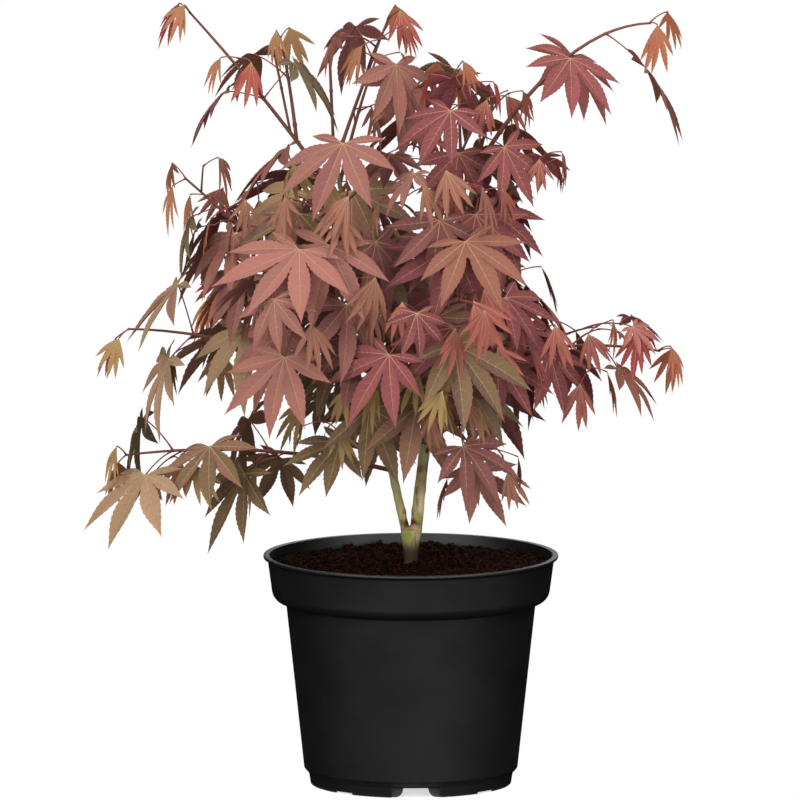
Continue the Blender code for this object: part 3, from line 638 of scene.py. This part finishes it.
def outerCorners():  # down the outside, from the lip to the middle of the underside
    wall, rim, top, lip = pot.wall, pot.rimRadius, pot.rimHeight, pot.lip
    band, heel, skirt, pad = pot.bandTop, pot.bandFootHeight, pot.skirt, pot.pad
    inward, downward = pot.bandHeel
    return [
        (band - wall, top, 0.5 * mm), (rim, top, 0.5 * mm), (rim, top - lip, 0.4 * mm),
        (band, top - 1.7 * lip, 0.8 * mm), (pot.bandFoot, heel, 2.2 * mm),
        (pot.bandFoot - inward, heel - downward, 1.4 * mm),
        (pot.bodyTop, pot.bodyTopHeight, 0.9 * mm),
        (pot.bodyFoot, pot.bodyFootHeight, 0.5 * mm),
        (skirt + pot.skirtStep, pot.skirtTop, 0.6 * mm),
        (skirt, 0, 0.4 * mm), (skirt - wall, 0, 0.4 * mm), (skirt - wall, pot.floor, 0),
        (pad, pot.floor, 0), (pad - wall, 0, 0), (0, 0, 0),
    ]


def heelOutline(side):  # the block beside a notch, round at its lower inner corner
    half, round = pot.notchWidth / 2, pot.heelRound
    inner, top = half - pot.heelWidth, pot.floor + pot.wall / 2
    outline = [(half + pot.wall, 0), (half + pot.wall, top), (inner - round / 4, top)]
    for turn in even(0, pi / 2, 8):
        outline.append((inner + round * (1 - cos(turn)), round * (1 - sin(turn))))
    return [(side * x, z) for x, z in outline]


def makePot():
    shape = bmesh.new()
    roundedChain(shape, innerCorners() + outerCorners())
    spun(shape, pot.steps)
    holder = newObject("holder", meshOf(shape))
    below, skirt = -pot.cutPast, pot.skirt
    near, far = skirt - pot.wall - pot.cutPast, pot.bodyFoot + pot.cutPast

    def slot(half, top):
        return [(-half, below), (half, below), (half, top), (-half, top)]

    notch = slot(pot.notchWidth / 2, pot.notchHeight)
    lift = slot((skirt + pot.cutPast) * tan(radians(45 - pot.footEnd)), pot.footLift)
    tools = []
    for n in range(pot.notches):
        turn = radians(pot.notchTurn + 360 * n / pot.notches)
        tools.append(("DIFFERENCE", block(notch, near, far, turn)))
        for side in (-1, 1):
            heel = block(heelOutline(side), pot.heelInner, near + pot.wall, turn)
            tools.append(("UNION", heel))
    for n in range(pot.lifts):
        turn = radians(pot.notchTurn + 360 * (n + 0.5) / pot.lifts)
        tools.append(("DIFFERENCE", block(lift, near, far, turn)))
    for operation, tool in tools:
        cut = holder.modifiers.new("cut", "BOOLEAN")
        cut.operation, cut.object, cut.solver = operation, tool, "EXACT"
    mesh = evaluatedMesh(holder)
    for _, tool in tools:
        bpy.data.objects.remove(tool)
    newPiece("pot_shell", mesh, [mouldedPolypropylene()], "pot", ["pot"], pot.sharpAngle)


def mouldedPolypropylene():  # black, injection moulded from a matt tool: a soft, broad sheen
    relief = (0.9 * mm, 2, 0.10, 0.1 * mm)
    material, add, shader = newFinish("moulded polypropylene", pot.colour, 0.5, relief,
                                      IOR=1.49, Specular_IOR_Level=0.95)
    place = add("TexCoord").outputs["Object"]
    flow = add("TexNoise", {"Vector": place, "Scale": 1 / (30 * mm), "Detail": 3})
    least, most = pot.roughness
    add("MapRange", {"Value": flow, "From Min": 0.3, "From Max": 0.7, "To Min": least,
                     "To Max": most}, shader.inputs["Roughness"])
    return material


# Compost: a heaped surface with crumbs and wood fibres lying on it

compost = Values(
    radius=0.0896, rings=52, steps=160, seed=11, above=0.8 * mm, heap=2.6 * mm, heapWidth=45 * mm,
    grain=3.4 * mm, grainWidth=5 * mm, collar=1.5 * mm, collarWidth=12 * mm, edge=3 * mm,
    edgeShare=0.3, crumbs=5200, crumbSize=(0.6 * mm, 3.4 * mm), fineness=2.5, fibres=2400,
    fibreLength=(3 * mm, 11 * mm), fibreRadius=(0.07 * mm, 0.17 * mm), fibreBend=0.9,
    strewn=0.985, crumbStretch=((0.7, 1.5), (0.7, 1.2), (0.5, 0.9)), crumbJag=(0.75, 1.15),
    fibreCut=(0.4, 1), colours={0.40: "#070302", 0.75: "#1c0c06"},
)
crumbColours = {"composted bark, dark": "#180a06", "composted bark, red": "#2e150b"}
fibreColours = {"wood fibre, brown": "#452414", "wood fibre, orange": "#6f3f24",
                "wood fibre, pale": "#8d6b4e"}
woodBits = (0.85, (0.5 * mm, 2, 0.4, 0.15 * mm), 0.06)  # broken bark and fibre, dull and rough


def compostHeight(x, y):
    slope = noise.noise(Vector((x, y, 0)) / compost.heapWidth)
    grain = noise.fractal(Vector((x, y, 7 * mm)) / compost.grainWidth, 1.0, 2.0, 3)
    collar = compost.collar * exp(-(x * x + y * y) / compost.collarWidth ** 2)
    return (soilTop + compost.above + compost.heap * slope + compost.grain * grain
            + collar)  # drawn up round the trunk


def makeCompost():
    shape = bmesh.new()
    side = [(max(0, radius - gap), height + gap, 0) for radius, height, _ in innerCorners()]
    rings = [(radius, soilTop, 0) for radius in even(compost.radius, 0, compost.rings)]
    roundedChain(shape, side + rings)
    spun(shape, compost.steps)
    low = compost.edgeShare
    for vert in shape.verts:
        x, y, z = vert.co
        if z > soilTop - 0.1 * mm:
            edge = min(1, (compost.radius - hypot(x, y)) / compost.edge)
            vert.co.z = soilTop + (compostHeight(x, y) - soilTop) * (low + (1 - low) * edge)
    newPiece("compost_bed", meshOf(shape), [dampCompost()], "soil", ["soil"])
    rng = random.Random(compost.seed)

    def spot():
        radius = compost.radius * compost.strewn * sqrt(rng.random())
        turn = rng.uniform(0, 2 * pi)
        x, y = radius * cos(turn), radius * sin(turn)
        return Vector((x, y, compostHeight(x, y)))

    crumb = bmesh.new()
    bmesh.ops.create_icosphere(crumb, subdivisions=1, radius=1)
    corners = [v.co.copy() for v in crumb.verts]
    sides = [tuple(v.index for v in f.verts) for f in crumb.faces]
    crumb.free()
    crumbs, lines = Sheets(), []
    low, high = compost.crumbSize
    for _ in range(compost.crumbs):
        size = (low + (high - low) * rng.random() ** compost.fineness) / 2
        place = spot()
        turn = Matrix.Rotation(rng.uniform(0, 6.28), 3, Vector((rng.random(), rng.random(), 1)))
        stretch = Vector([rng.uniform(*ends) for ends in compost.crumbStretch])
        points = [place + turn @ (c * stretch * rng.uniform(*compost.crumbJag)) * size
                  for c in corners]
        crumbs.add(points, sides, rng.choice((0, 0, 0, 1)))
    newPiece("compost_crumbs", crumbs.mesh(), newFinishes(crumbColours, *woodBits), "soil")
    for _ in range(compost.fibres):
        start = spot()
        turn = rng.uniform(0, 6.28)
        length = rng.uniform(*compost.fibreLength) * rng.uniform(*compost.fibreCut)
        radius = rng.uniform(*compost.fibreRadius)
        points, bend = [], rng.uniform(-compost.fibreBend, compost.fibreBend)
        for step in even(0, 1, 4):
            reach = Vector((cos(turn + bend * step), sin(turn + bend * step), 0))
            x, y, _ = start + reach * length * step
            if hypot(x, y) > compost.radius - 1 * mm:
                break
            hump = sin(pi * step) * rng.uniform(0, 1.2) * mm
            points.append(Vector((x, y, compostHeight(x, y) + hump)))
        if len(points) > 2:
            radii = [radius * (1.2 - 0.8 * i / len(points)) for i in range(len(points))]
            lines.append((points, radii, rng.choice((0, 0, 1, 2))))
    newPiece("compost_fibres", tubesMesh(lines, 4), newFinishes(fibreColours, *woodBits), "soil")


def dampCompost():  # milled peat and bark, damp: nearly black with warm specks, no gloss
    material, add, shader = newFinish("damp compost", "#130805", 0.9, Specular_IOR_Level=0.04)
    place = add("TexCoord").outputs["Object"]
    specks = add("TexVoronoi", {"Vector": place, "Scale": 1 / (1.6 * mm)})
    grain = add("TexNoise", {"Vector": place, "Scale": 1 / (1.2 * mm), "Detail": 3})
    ramp = add("ValToRGB", {"Fac": grain}, shader.inputs["Base Color"])
    for stop, (position, code) in zip(ramp.color_ramp.elements, compost.colours.items()):
        stop.position, stop.color = position, linear(code)
    add("Bump", {"Height": specks, "Strength": 0.6, "Distance": 0.6 * mm},
        shader.inputs["Normal"])
    return material


class Sheets:  # many small shapes gathered into one mesh
    def __init__(self):
        self.points, self.faces, self.tints, self.places = [], [], [], []

    def add(self, points, faces, tint, places=None):
        first = len(self.points)
        self.points += points
        self.faces += [tuple(first + i for i in face) for face in faces]
        self.tints += tint if isinstance(tint, list) else [tint] * len(faces)
        self.places += places or [(0, 0)] * len(points)

    def mesh(self):
        mesh = bpy.data.meshes.new("sheets")
        mesh.from_pydata([tuple(p) for p in self.points], [], self.faces)
        mesh.polygons.foreach_set("material_index", self.tints)
        layer = mesh.uv_layers.new(name="leaf")
        corners = [0] * len(mesh.loops)
        mesh.loops.foreach_get("vertex_index", corners)
        layer.data.foreach_set("uv", [c for i in corners for c in self.places[i]])
        mesh.update()
        return mesh


# Trunk and stems: one skin over the fork, with bark relief

bark = Values(
    voxel=0.45 * mm, sides=16, steps=40, ease=(0.5, 6), bareNodes=(0.05, 0.11),
    root=(-0.004, 0.0065), fork=(0.024, 0.0066),  # height over the compost, and radius
    fromFork=((0.20, 0.156), (0.75, 0.162)),  # share of a stem's sideways start, and height
    swell=0.2 * mm, swellLength=2.2 * mm, swellReach=9 * mm,
    relief=0.22 * mm, grain=2.2 * mm, fine=0.9 * mm, fineShare=0.4, along=0.4,
    smoothAbove=0.19, smoothShare=0.45,
    ring=0.12 * mm, ringGap=2.5 * mm, ringFrom=0.2,
    colour="#9c9560", climb={  # share of the way from the compost to a height of "top"; its dark lowest stops are painted shade at the foot
        0.01: "#3b3027", 0.06: "#5f5341", 0.09: "#857a4c", 0.13: "#a8a467", 0.18: "#b8b077",
        0.45: "#bdb37c", 0.75: "#a79c6b", 1.0: "#7d6d4c"}, top=0.30,
    mottle=(  # squeeze along the stem, grain, least and most of the noise, colour
        (0.45, 5 * mm, 0.53, 0.66, "#8e6c49"), (0.10, 1.3 * mm, 0.50, 0.80, "#ddd2a2")),
    spots=(  # middle, reach each way, colour
        ((0.002, -0.003, 0.1710), (0.010, 0.012, 0.0055), "#553322"),  # scar in the fork
        ((0.004, -0.004, 0.1685), (0.007, 0.009, 0.0035), "#c39a7c"),
        ((0.000, -0.004, 0.1630), (0.0045, 0.009, 0.0058), "#94a04a"),  # green skin below it
        ((0.008, -0.004, 0.1750), (0.0050, 0.008, 0.0060), "#a3a850"),
        ((0.002, 0.002, 0.1460), (0.040, 0.040, 0.0170), "#3d3328"),  # painted shade, darker at the foot
        ((0.0100, -0.002, 0.1845), (0.0045, 0.007, 0.0140), "#ffe0b8")),  # a healed wound
)


def stemNodes(name):  # where shoots leave a stem, and the bare nodes between
    shares = [shoot.arch.start for shoot in crown.shoots.values() if shoot.parent == name]
    return shares + [arches[name].point(t) for t in bark.bareNodes]


def makeStems():
    heights, radii = zip(bark.root, *trunk, bark.fork)
    foot = Vector((0, 0, soilTop))
    lines = [([foot + up * height for height in heights], radii, 0)]
    for name, (start, tip, bow, thick, thin) in stems.items():
        points = [Vector((start[0] * share, 0, z)) for share, z in bark.fromFork]
        radii = [thick, thick]
        for t in even(0, 1, bark.steps):
            points.append(arches[name].point(t))
            radii.append(thick + (thin - thick) * t)
        lines.append((points, radii, 0))
    holder = newObject("holder", tubesMesh(lines, bark.sides))
    fused = holder.modifiers.new("fused", "REMESH")
    fused.mode, fused.voxel_size = "VOXEL", bark.voxel
    ease = holder.modifiers.new("ease", "SMOOTH")
    ease.factor, ease.iterations = bark.ease
    mesh = evaluatedMesh(holder)
    nodes = [point for name in stems for point in stemNodes(name)]
    normals = [vert.normal.copy() for vert in mesh.vertices]
    for vert, normal in zip(mesh.vertices, normals):
        place, push = vert.co.copy(), 0
        for node in nodes:
            away = place - node
            if away.length < bark.swellReach:
                push += bark.swell * exp(-(away.z / bark.swellLength) ** 2)
        stretched = Vector((place.x, place.y, place.z * bark.along))
        coarse = noise.noise(stretched / bark.grain)
        finer = noise.noise(place / bark.fine)
        rings = noise.noise(Vector((0, 0, place.z)) / bark.ringGap)
        low = 1 if place.z < bark.smoothAbove else bark.smoothShare
        push += (low * (bark.relief * (coarse + bark.fineShare * finer))
                 + bark.ring * max(0, rings - bark.ringFrom))
        vert.co = place + normal * push
    newPiece("stems_bark", mesh, [youngBark()], "bark", ["trunk", *stems])


def spotOn(add, place, centre, reach):  # 1 within a soft ellipsoid, 0 outside it
    moved = add("Mapping", {"Vector": place, "Location": centre, "Scale": reach},
                vector_type="TEXTURE")
    ball = add("TexGradient", {"Vector": moved}, gradient_type="SPHERICAL")
    return add("MapRange", {"Value": ball.outputs["Fac"], "From Min": 0.15, "From Max": 0.60})


def youngBark():  # living bark on a two year old stem: smooth, olive beige, scarred at the fork
    relief = (0.8 * mm, 3, 0.35, 0.2 * mm)
    material, add, shader = newFinish("young maple bark", bark.colour, 0.6, relief,
                                      Specular_IOR_Level=0.15)
    place = add("TexCoord").outputs["Object"]
    parts = add("SeparateXYZ", {"Vector": place})
    height = add("MapRange", {"Value": parts.outputs["Z"], "From Min": soilTop,
                              "From Max": bark.top})
    climb = add("ValToRGB", {"Fac": height})
    stops = climb.color_ramp.elements
    (low, first), *between, (high, last) = bark.climb.items()
    stops[0].position, stops[0].color = low, linear(first)
    stops[1].position, stops[1].color = high, linear(last)
    for position, code in between:
        stops.new(position).color = linear(code)
    covers = []  # a mask and the colour that it lets through
    for squeeze, grain, least, most, tint in bark.mottle:
        squeezed = add("Mapping", {"Vector": place, "Scale": (1, 1, squeeze)})
        noisy = add("TexNoise", {"Vector": squeezed, "Scale": 1 / grain, "Detail": 4,
                                 "Roughness": 0.6})
        covers.append((add("MapRange", {"Value": noisy, "From Min": least, "From Max": most}),
                       tint))
    ragged = add("TexNoise", {"Vector": place, "Scale": 1 / (1.2 * mm), "Detail": 4,
                              "Roughness": 0.7})
    shaken = add("VectorMath", {0: ragged.outputs["Color"], 1: (4 * mm,) * 3, 2: place},
                 operation="MULTIPLY_ADD")  # moves the spots by 2 mm each way on average
    covers += [(spotOn(add, shaken, *spot), tint) for *spot, tint in bark.spots]
    colour = climb.outputs["Color"]
    for mask, tint in covers:
        mixed = add("Mix", {0: mask, 6: colour, 7: linear(tint)}, data_type="RGBA")
        colour = mixed.outputs[2]
    material.node_tree.links.new(colour, shader.inputs["Base Color"])
    return material


# Shoots: each bough runs on as the stem of its spray, and twigs leave it at its nodes

wood = Values(
    boughRadius=0.00155, tipRadius=0.00070, sides=8, steps=14, nodeSwell=1.35,
    nodeLength=1.3 * mm, nodeShape=0.6, footNode=0.12, least=0.3 * mm, stubTaper=0.9,
    stubNodes=(0.5, 0.97), stubSteps=6, twigSides=6, twigRadii=(0.00085, 0.00055), twigSteps=6,
    fineSteps=4,
)
shootColours = {"red shoot": "#7a4a3e", "crimson shoot": "#8a3f41", "olive shoot": "#75603c",
                "cut shoot": "#8b6a45"}  # one for each tone, and one for the cut stubs
newWood = (0.5, (1.5 * mm, 2, 0.3, 0.15 * mm), 0.2)  # this year's wood, still glossy


def swollen(arch, radii, nodes, steps):  # a line whose radius swells at its nodes
    length, swell = arch.length(), wood.nodeSwell - 1
    reach = wood.nodeLength * wood.nodeShape
    shares = set(even(0, 1, steps))
    for node in nodes:
        for step in range(-2, 3):
            shares.add(min(1, max(0, node + step * wood.nodeLength / 2 / length)))
    kept, widths = [0], []
    for share in sorted(shares):
        if (share - kept[-1]) * length > wood.least:
            kept.append(share)
    for share in kept:
        width = radii[0] + (radii[1] - radii[0]) * share
        for node in nodes:
            away = (share - node) * length
            width *= 1 + swell * exp(-(away / reach) ** 2)
        widths.append(width)
    return [arch.point(share) for share in kept], widths


def makeShoots():
    lines, twigs, toneNames = [], [], list(tones)
    for name, shoot in crown.shoots.items():
        tint = toneNames.index(shoot.tone)
        thick = wood.boughRadius if shoot.bough else rule.sprayRadii[0]
        radii, nodes = (thick, wood.tipRadius), [*shoot.stations, wood.footNode]
        lines.append((*swollen(shoot.arch, radii, nodes, wood.steps), tint))
        for grown, radii, steps in ((sprays, wood.twigRadii, wood.twigSteps),
                                    (fineSprays, fine.radii, wood.fineSteps)):
            for twig, _, stations in grown[name][0]:
                twigs.append((*swollen(twig, radii, stations, steps), tint))
    for name, (_, _, _, radius) in stubs.items():
        line = swollen(arches[name], (radius, radius * wood.stubTaper),
                       wood.stubNodes, wood.stubSteps)
        lines.append((*line, len(tones)))
    boughs = ["bough_" + name for name, shoot in crown.shoots.items() if shoot.bough]
    newPiece("shoots_bark", tubesMesh(lines, wood.sides), newFinishes(shootColours, *newWood),
             "shoot", [*boughs, *stubs])
    newPiece("twigs", tubesMesh(twigs, wood.twigSides), newFinishes(shootColours, *newWood),
             "shoot")


# Leaves: palmate blades with toothed lobes, folded along each midrib

tones = {  # grown leaves from the outermost to those inside the crown, lighter to darker as painted light and shade, then an odd one
    "plum": {"grown": ("#ac7568", "#a16a60", "#94625a", "#865451", "#7b4d49", "#7a674f"),
             "young": ("#b57a5c", "#a5554c", "#986555"), "rib": "#b08f6c", "stalk": "#8e4946"},
    "rose": {"grown": ("#ae6b65", "#a35e5a", "#925252", "#874b4c", "#7b4547", "#8f5d4e"),
             "young": ("#b87053", "#a54d4a", "#9e5a51"), "rib": "#b58a6f", "stalk": "#a04649"},
    "bronze": {"grown": ("#ab876d", "#9c7d60", "#926857", "#7d634a", "#73574a", "#74674a"),
               "young": ("#ad865c", "#aa7452", "#9f7f54"), "rib": "#aaa270", "stalk": "#886347"},
}
# painted light and shade of the leaves: which tint step each takes by where it grows
shade = Values(
    spread=(0.150, 0.230), foot=0.31, height=0.25, steps=4, scatter=(-1.4, 1.6), odd=0.12,
    youngOuter=0.6, same=0.7,
)
leafLook = (  # grown, then young
    Values(
        width=0.120, widest=0.50, taper=1.55, palm=0.26, middle=0.60, teeth=10, tooth=0.0065,
        fold=0.30, rib=1,
    ),
    Values(
        width=0.070, widest=0.52, taper=1.25, palm=0.38, middle=0.68, teeth=7, tooth=0.006,
        fold=0.45, rib=0.7,
    ),
)
notchPush = ((0.30, -0.6), (0.86, 1.0))  # along a tooth: between two teeth, and its point
rib = Values(
    halfWidths=(0.28 * mm, 0.22 * mm, 0.15 * mm, 0.06 * mm), lift=0.16 * mm, end=0.94,
    sides=(0.30, 0.40, 0.50, 0.61, 0.72, 0.82), sideHalfWidth=0.14 * mm, sweep=0.09, run=0.78,
)
petiole = Values(hump=(0.02, 0.08), swell=(1.7, 1.1, 1.0, 0.95, 1.0, 1.15), sides=6)
skin = Values(
    bend=0.05, lean=-0.14, veinGap=0.045, veins=22.0, grain=1.7 * mm, pucker=2.0, strength=0.45,
    depth=0.4 * mm, outerFoot=0.07, sag=2.2, seed=5,
)


def halfWidth(s, look):  # of a lobe, as a share of its length
    p, b = look.widest, look.taper
    return look.width * (s / p) ** (b * p / (1 - p)) * ((1 - s) / (1 - p)) ** b


def margin(first, look):  # the toothed edge of a half lobe from a share of its length to its tip
    edge, step = [], (1 - first) / look.teeth
    for i in range(look.teeth):
        for share, push in notchPush:
            s = first + step * (i + share)
            wide = halfWidth(s, look)
            edge.append((s, wide + push * look.tooth * min(1, wide / look.width * 1.6)))
    return edge


def addBlade(blades, ribs, blade, tints, ribTint, bends):
    base, down, side, face, length, young, draws, _ = blade
    look = leafLook[young]
    tips, dips = lobePlan(length, young, draws)
    halfFan = rule.fan[young] / 2
    points, faces, places, faceTints = [base], [], [(0, 0)], []

    def put(position, place):
        points.append(position)
        places.append(place)
        return len(points) - 1

    valleys = []
    for turn, distance in dips:
        away = down * cos(turn) + side * sin(turn)
        lift = face * look.fold * distance * sin(halfFan)
        valleys.append(put(base + away * distance + lift, (0.3, 1)))
    for n, (turn, size) in enumerate(tips):
        away = down * cos(turn) + side * sin(turn)
        across = side * cos(turn) - down * sin(turn)
        sink, bend = draws[n][2], bends[n]

        def at(s, t):
            drop = sink * s ** skin.sag - look.fold * abs(t)
            return base + (away * s + across * (t + bend * s * s) - face * drop) * size

        spine = [0] + [put(at(s, 0), (s, 0)) for s in (look.palm, look.middle, 1)]
        for right in (0, 1):
            hand = 1 if right else -1
            outer = n == (len(dips) if right else 0)
            edge = margin(skin.outerFoot if outer else look.palm, look)
            marks = [put(at(s, hand * t), (s, hand * t / look.width)) for s, t in edge]
            low, high = (sum(s < look[key] for s, _ in edge) for key in ("palm", "middle"))
            if outer:
                rounds = [[0, spine[1], *reversed(marks[:low + 1])],
                          [spine[1], spine[2], *reversed(marks[low:high + 1])]]
            else:
                inner = valleys[n - 1 + right]
                rounds = [[0, spine[1], inner],
                          [spine[1], spine[2], *reversed(marks[:high + 1]), inner]]
            rounds.append([spine[2], spine[3], *reversed(marks[high:])])
            faces += [r if right else r[::-1] for r in rounds]
            faceTints += [tints[2 * n + right]] * len(rounds)
        strip, stops = [], (0, look.palm, look.middle, rib.end)
        for s, wide in zip(stops, rib.halfWidths):
            wide *= look.rib
            lift = face * (rib.lift + look.fold * wide)
            strip += [at(s, 0) - across * wide + lift, at(s, 0) + across * wide + lift]
        ribs.add(strip, [(2 * i, 2 * i + 2, 2 * i + 3, 2 * i + 1) for i in range(3)], ribTint)
        for s in () if young else rib.sides:  # side veins, from the midrib to the margin
            low = max(stop for stop in stops if stop <= s)
            high = min((*stops[1:3], 1), key=lambda stop: (stop <= s, stop))
            foot = at(low, 0).lerp(at(high, 0), (s - low) / (high - low)) + face * rib.lift
            end = s + rib.sweep
            for hand in (-1, 1):
                edge = at(end, hand * halfWidth(end, look))
                tip = foot.lerp(edge + face * rib.lift, rib.run)
                half = away * rib.sideHalfWidth * hand
                ribs.add([foot + half, foot - half, tip], [(0, 1, 2)], ribTint)
    blades.add(points, faces, faceTints, places)


def paintedShadeTint(rng, place, young, odd):  # painted shade: darker towards the inside of the crown, and painted light: lighter towards its top and sides
    spread = hypot(place.x / shade.spread[0], place.y / shade.spread[1])
    outer = max(spread ** 3, (place.z - shade.foot) / shade.height)
    if young:
        return odd + (1 + rng.choice((0, 0, 1)) if outer > shade.youngOuter else 3)
    if rng.random() < shade.odd:
        return odd
    depth = (1 - outer) * shade.steps + rng.uniform(*shade.scatter)
    return max(0, min(odd - 1, int(depth)))


def makeLeaves():
    rng = random.Random(skin.seed)
    stalks, ribs = [], Sheets()
    radii = [rule.petioleRadius * k for k in petiole.swell]
    for index, (tone, colours) in enumerate(tones.items()):
        blades, odd = Sheets(), len(colours["grown"]) - 1
        members = [name for name, shoot in crown.shoots.items() if shoot.tone == tone]
        for name in members:
            for leaf in sprays[name][1] + fineSprays[name][1]:
                root, base, young = leaf.root, leaf.blade[0], leaf.blade[5]
                tint = paintedShadeTint(rng, base, young, odd)
                other = tint if tint >= odd else tint + 1 if tint < odd - 1 else tint - 1
                tints = [tint if rng.random() < shade.same else other
                         for _ in range(2 * habit.lobes)]
                bends = [rng.uniform(-skin.bend, skin.bend) for _ in range(habit.lobes)]
                addBlade(blades, ribs, leaf.blade, tints, index, bends)
                hump = up * (base - root).length * rng.uniform(*petiole.hump)
                points = [root.lerp(base, t) + hump * 4 * t * (1 - t)
                          for t in even(0, 1, len(radii) - 1)]
                stalks.append((points, radii, index))
        finishes = [livingLeaf(f"{tone} leaf {i + 1}", code, i > odd)
                    for i, code in enumerate(colours["grown"] + colours["young"])]
        newPiece("leaves_" + tone, blades.mesh(), finishes, "foliage_" + tone,
                 ["spray_" + name for name in members])
    for name, mesh, part, roughness, gloss, slot in (
            ("leaf_ribs", ribs.mesh(), "rib", 0.6, 0.05, "foliage_rose"),
            ("leaf_stalks", tubesMesh(stalks, petiole.sides), "stalk", 0.4, 0.2, "shoot")):
        codes = {f"{tone} {part}": colours[part] for tone, colours in tones.items()}
        newPiece(name, mesh, newFinishes(codes, roughness, None, gloss), slot)


def livingLeaf(name, colour, young):  # a thin waxy skin over the veins: a weak sheen
    material, add, shader = newFinish(name, colour, 0.6, IOR=1.42, Specular_IOR_Level=0.05)
    if young:  # still smooth
        return material
    parts = add("SeparateXYZ", {"Vector": add("UVMap", uv_map="leaf")})
    aside = add("Math", {0: parts.outputs["Y"]}, operation="ABSOLUTE")
    swept = add("Math", {0: aside, 1: skin.lean, 2: parts.outputs["X"]},
                operation="MULTIPLY_ADD")  # side veins lean towards the tip
    veins = add("Math", {0: swept, 1: skin.veinGap}, operation="PINGPONG")
    place = add("TexCoord").outputs["Object"]
    grain = add("TexNoise", {"Vector": place, "Scale": 1 / skin.grain, "Detail": 2})
    pucker = add("Math", {0: grain, 1: skin.pucker}, operation="MULTIPLY")
    height = add("Math", {0: veins, 1: skin.veins, 2: pucker}, operation="MULTIPLY_ADD")
    add("Bump", {"Height": height, "Strength": skin.strength, "Distance": skin.depth},
        shader.inputs["Normal"])
    return material


# Setting: a pale floor, soft lights near the camera, and a long lens

panel = {"shape": "RECTANGLE", "size": 2.6, "size_y": 1.2}
setting = Values(
    floor="#fcfcfc", floorRadius=0.065, glow=0.6, daylight=0.30,
    lens=1000, width=0.5146, aim=(-0.007, 0, 0.249), elevation=8.2,
    lights={  # kind, place, power and size
        "key": ("AREA", (-1.3, -2.4, 1.0), 40, panel),
        "front fill": ("AREA", (1.5, -2.4, 0.7), 29, panel),
        "left fill": ("AREA", (-2.0, -1.4, 2.4), 26, {"size": 1.0}),
        "right fill": ("AREA", (2.0, -1.4, 2.4), 22, {"size": 1.0}),
        "back fill": ("AREA", (0.3, 2.6, 1.8), 18, {"size": 1.4}),
        "top": ("SUN", (0.1, 0.2, 2.0), 1.6, {"angle": radians(80)}),
    },
)


def makeFloor():
    shape = bmesh.new()
    bmesh.ops.create_circle(shape, cap_ends=True, segments=128, radius=setting.floorRadius)
    floor = newObject("floor", meshOf(shape))
    finish, _, shader = newFinish("opal acrylic, lit from below", setting.floor, 0.9)
    shader.inputs["Emission Color"].default_value = linear("#ffffff")
    shader.inputs["Emission Strength"].default_value = setting.glow
    floor.data.materials.append(finish)


def makeLights():
    world = bpy.data.worlds.new("studio")
    bpy.context.scene.world = world
    world.use_nodes = True
    world.node_tree.nodes.clear()
    add = partial(addNode, world.node_tree)
    path = add("LightPath")
    soft = add("Math", {0: path.outputs["Is Diffuse Ray"], 1: setting.daylight},
               operation="MULTIPLY")  # black to reflections, as a studio's flags make it
    seen = add("Math", {0: path.outputs["Is Camera Ray"], 1: soft}, operation="ADD")
    wall = add("Background", {"Color": linear("#ffffff"), "Strength": seen})
    add("OutputWorld", {"Surface": wall})
    for name, (kind, place, energy, size) in setting.lights.items():
        light = bpy.data.lights.new(name, kind)
        for key, value in {"energy": energy, **size}.items():
            setattr(light, key, value)
        lamp = newObject(name, light)
        lamp.location = place
        way = Vector(setting.aim) - lamp.location
        lamp.rotation_euler = way.to_track_quat("-Z", "Y").to_euler()


def makeCamera():
    camera = bpy.data.cameras.new("camera")
    camera.lens, camera.sensor_width, camera.clip_end = setting.lens, 36, 100
    holder = newObject("camera", camera)
    tilt = radians(setting.elevation)
    back = Vector((0, -cos(tilt), sin(tilt)))
    distance = setting.width * camera.lens / camera.sensor_width
    holder.location = Vector(setting.aim) + back * distance
    holder.rotation_euler = (-back).to_track_quat("-Z", "Y").to_euler()
    bpy.context.scene.camera = holder
    bpy.context.scene.view_settings.view_transform = "Standard"


for make in (makePot, makeCompost, makeStems, makeShoots, makeLeaves, makeFloor, makeLights,
             makeCamera):
    make()
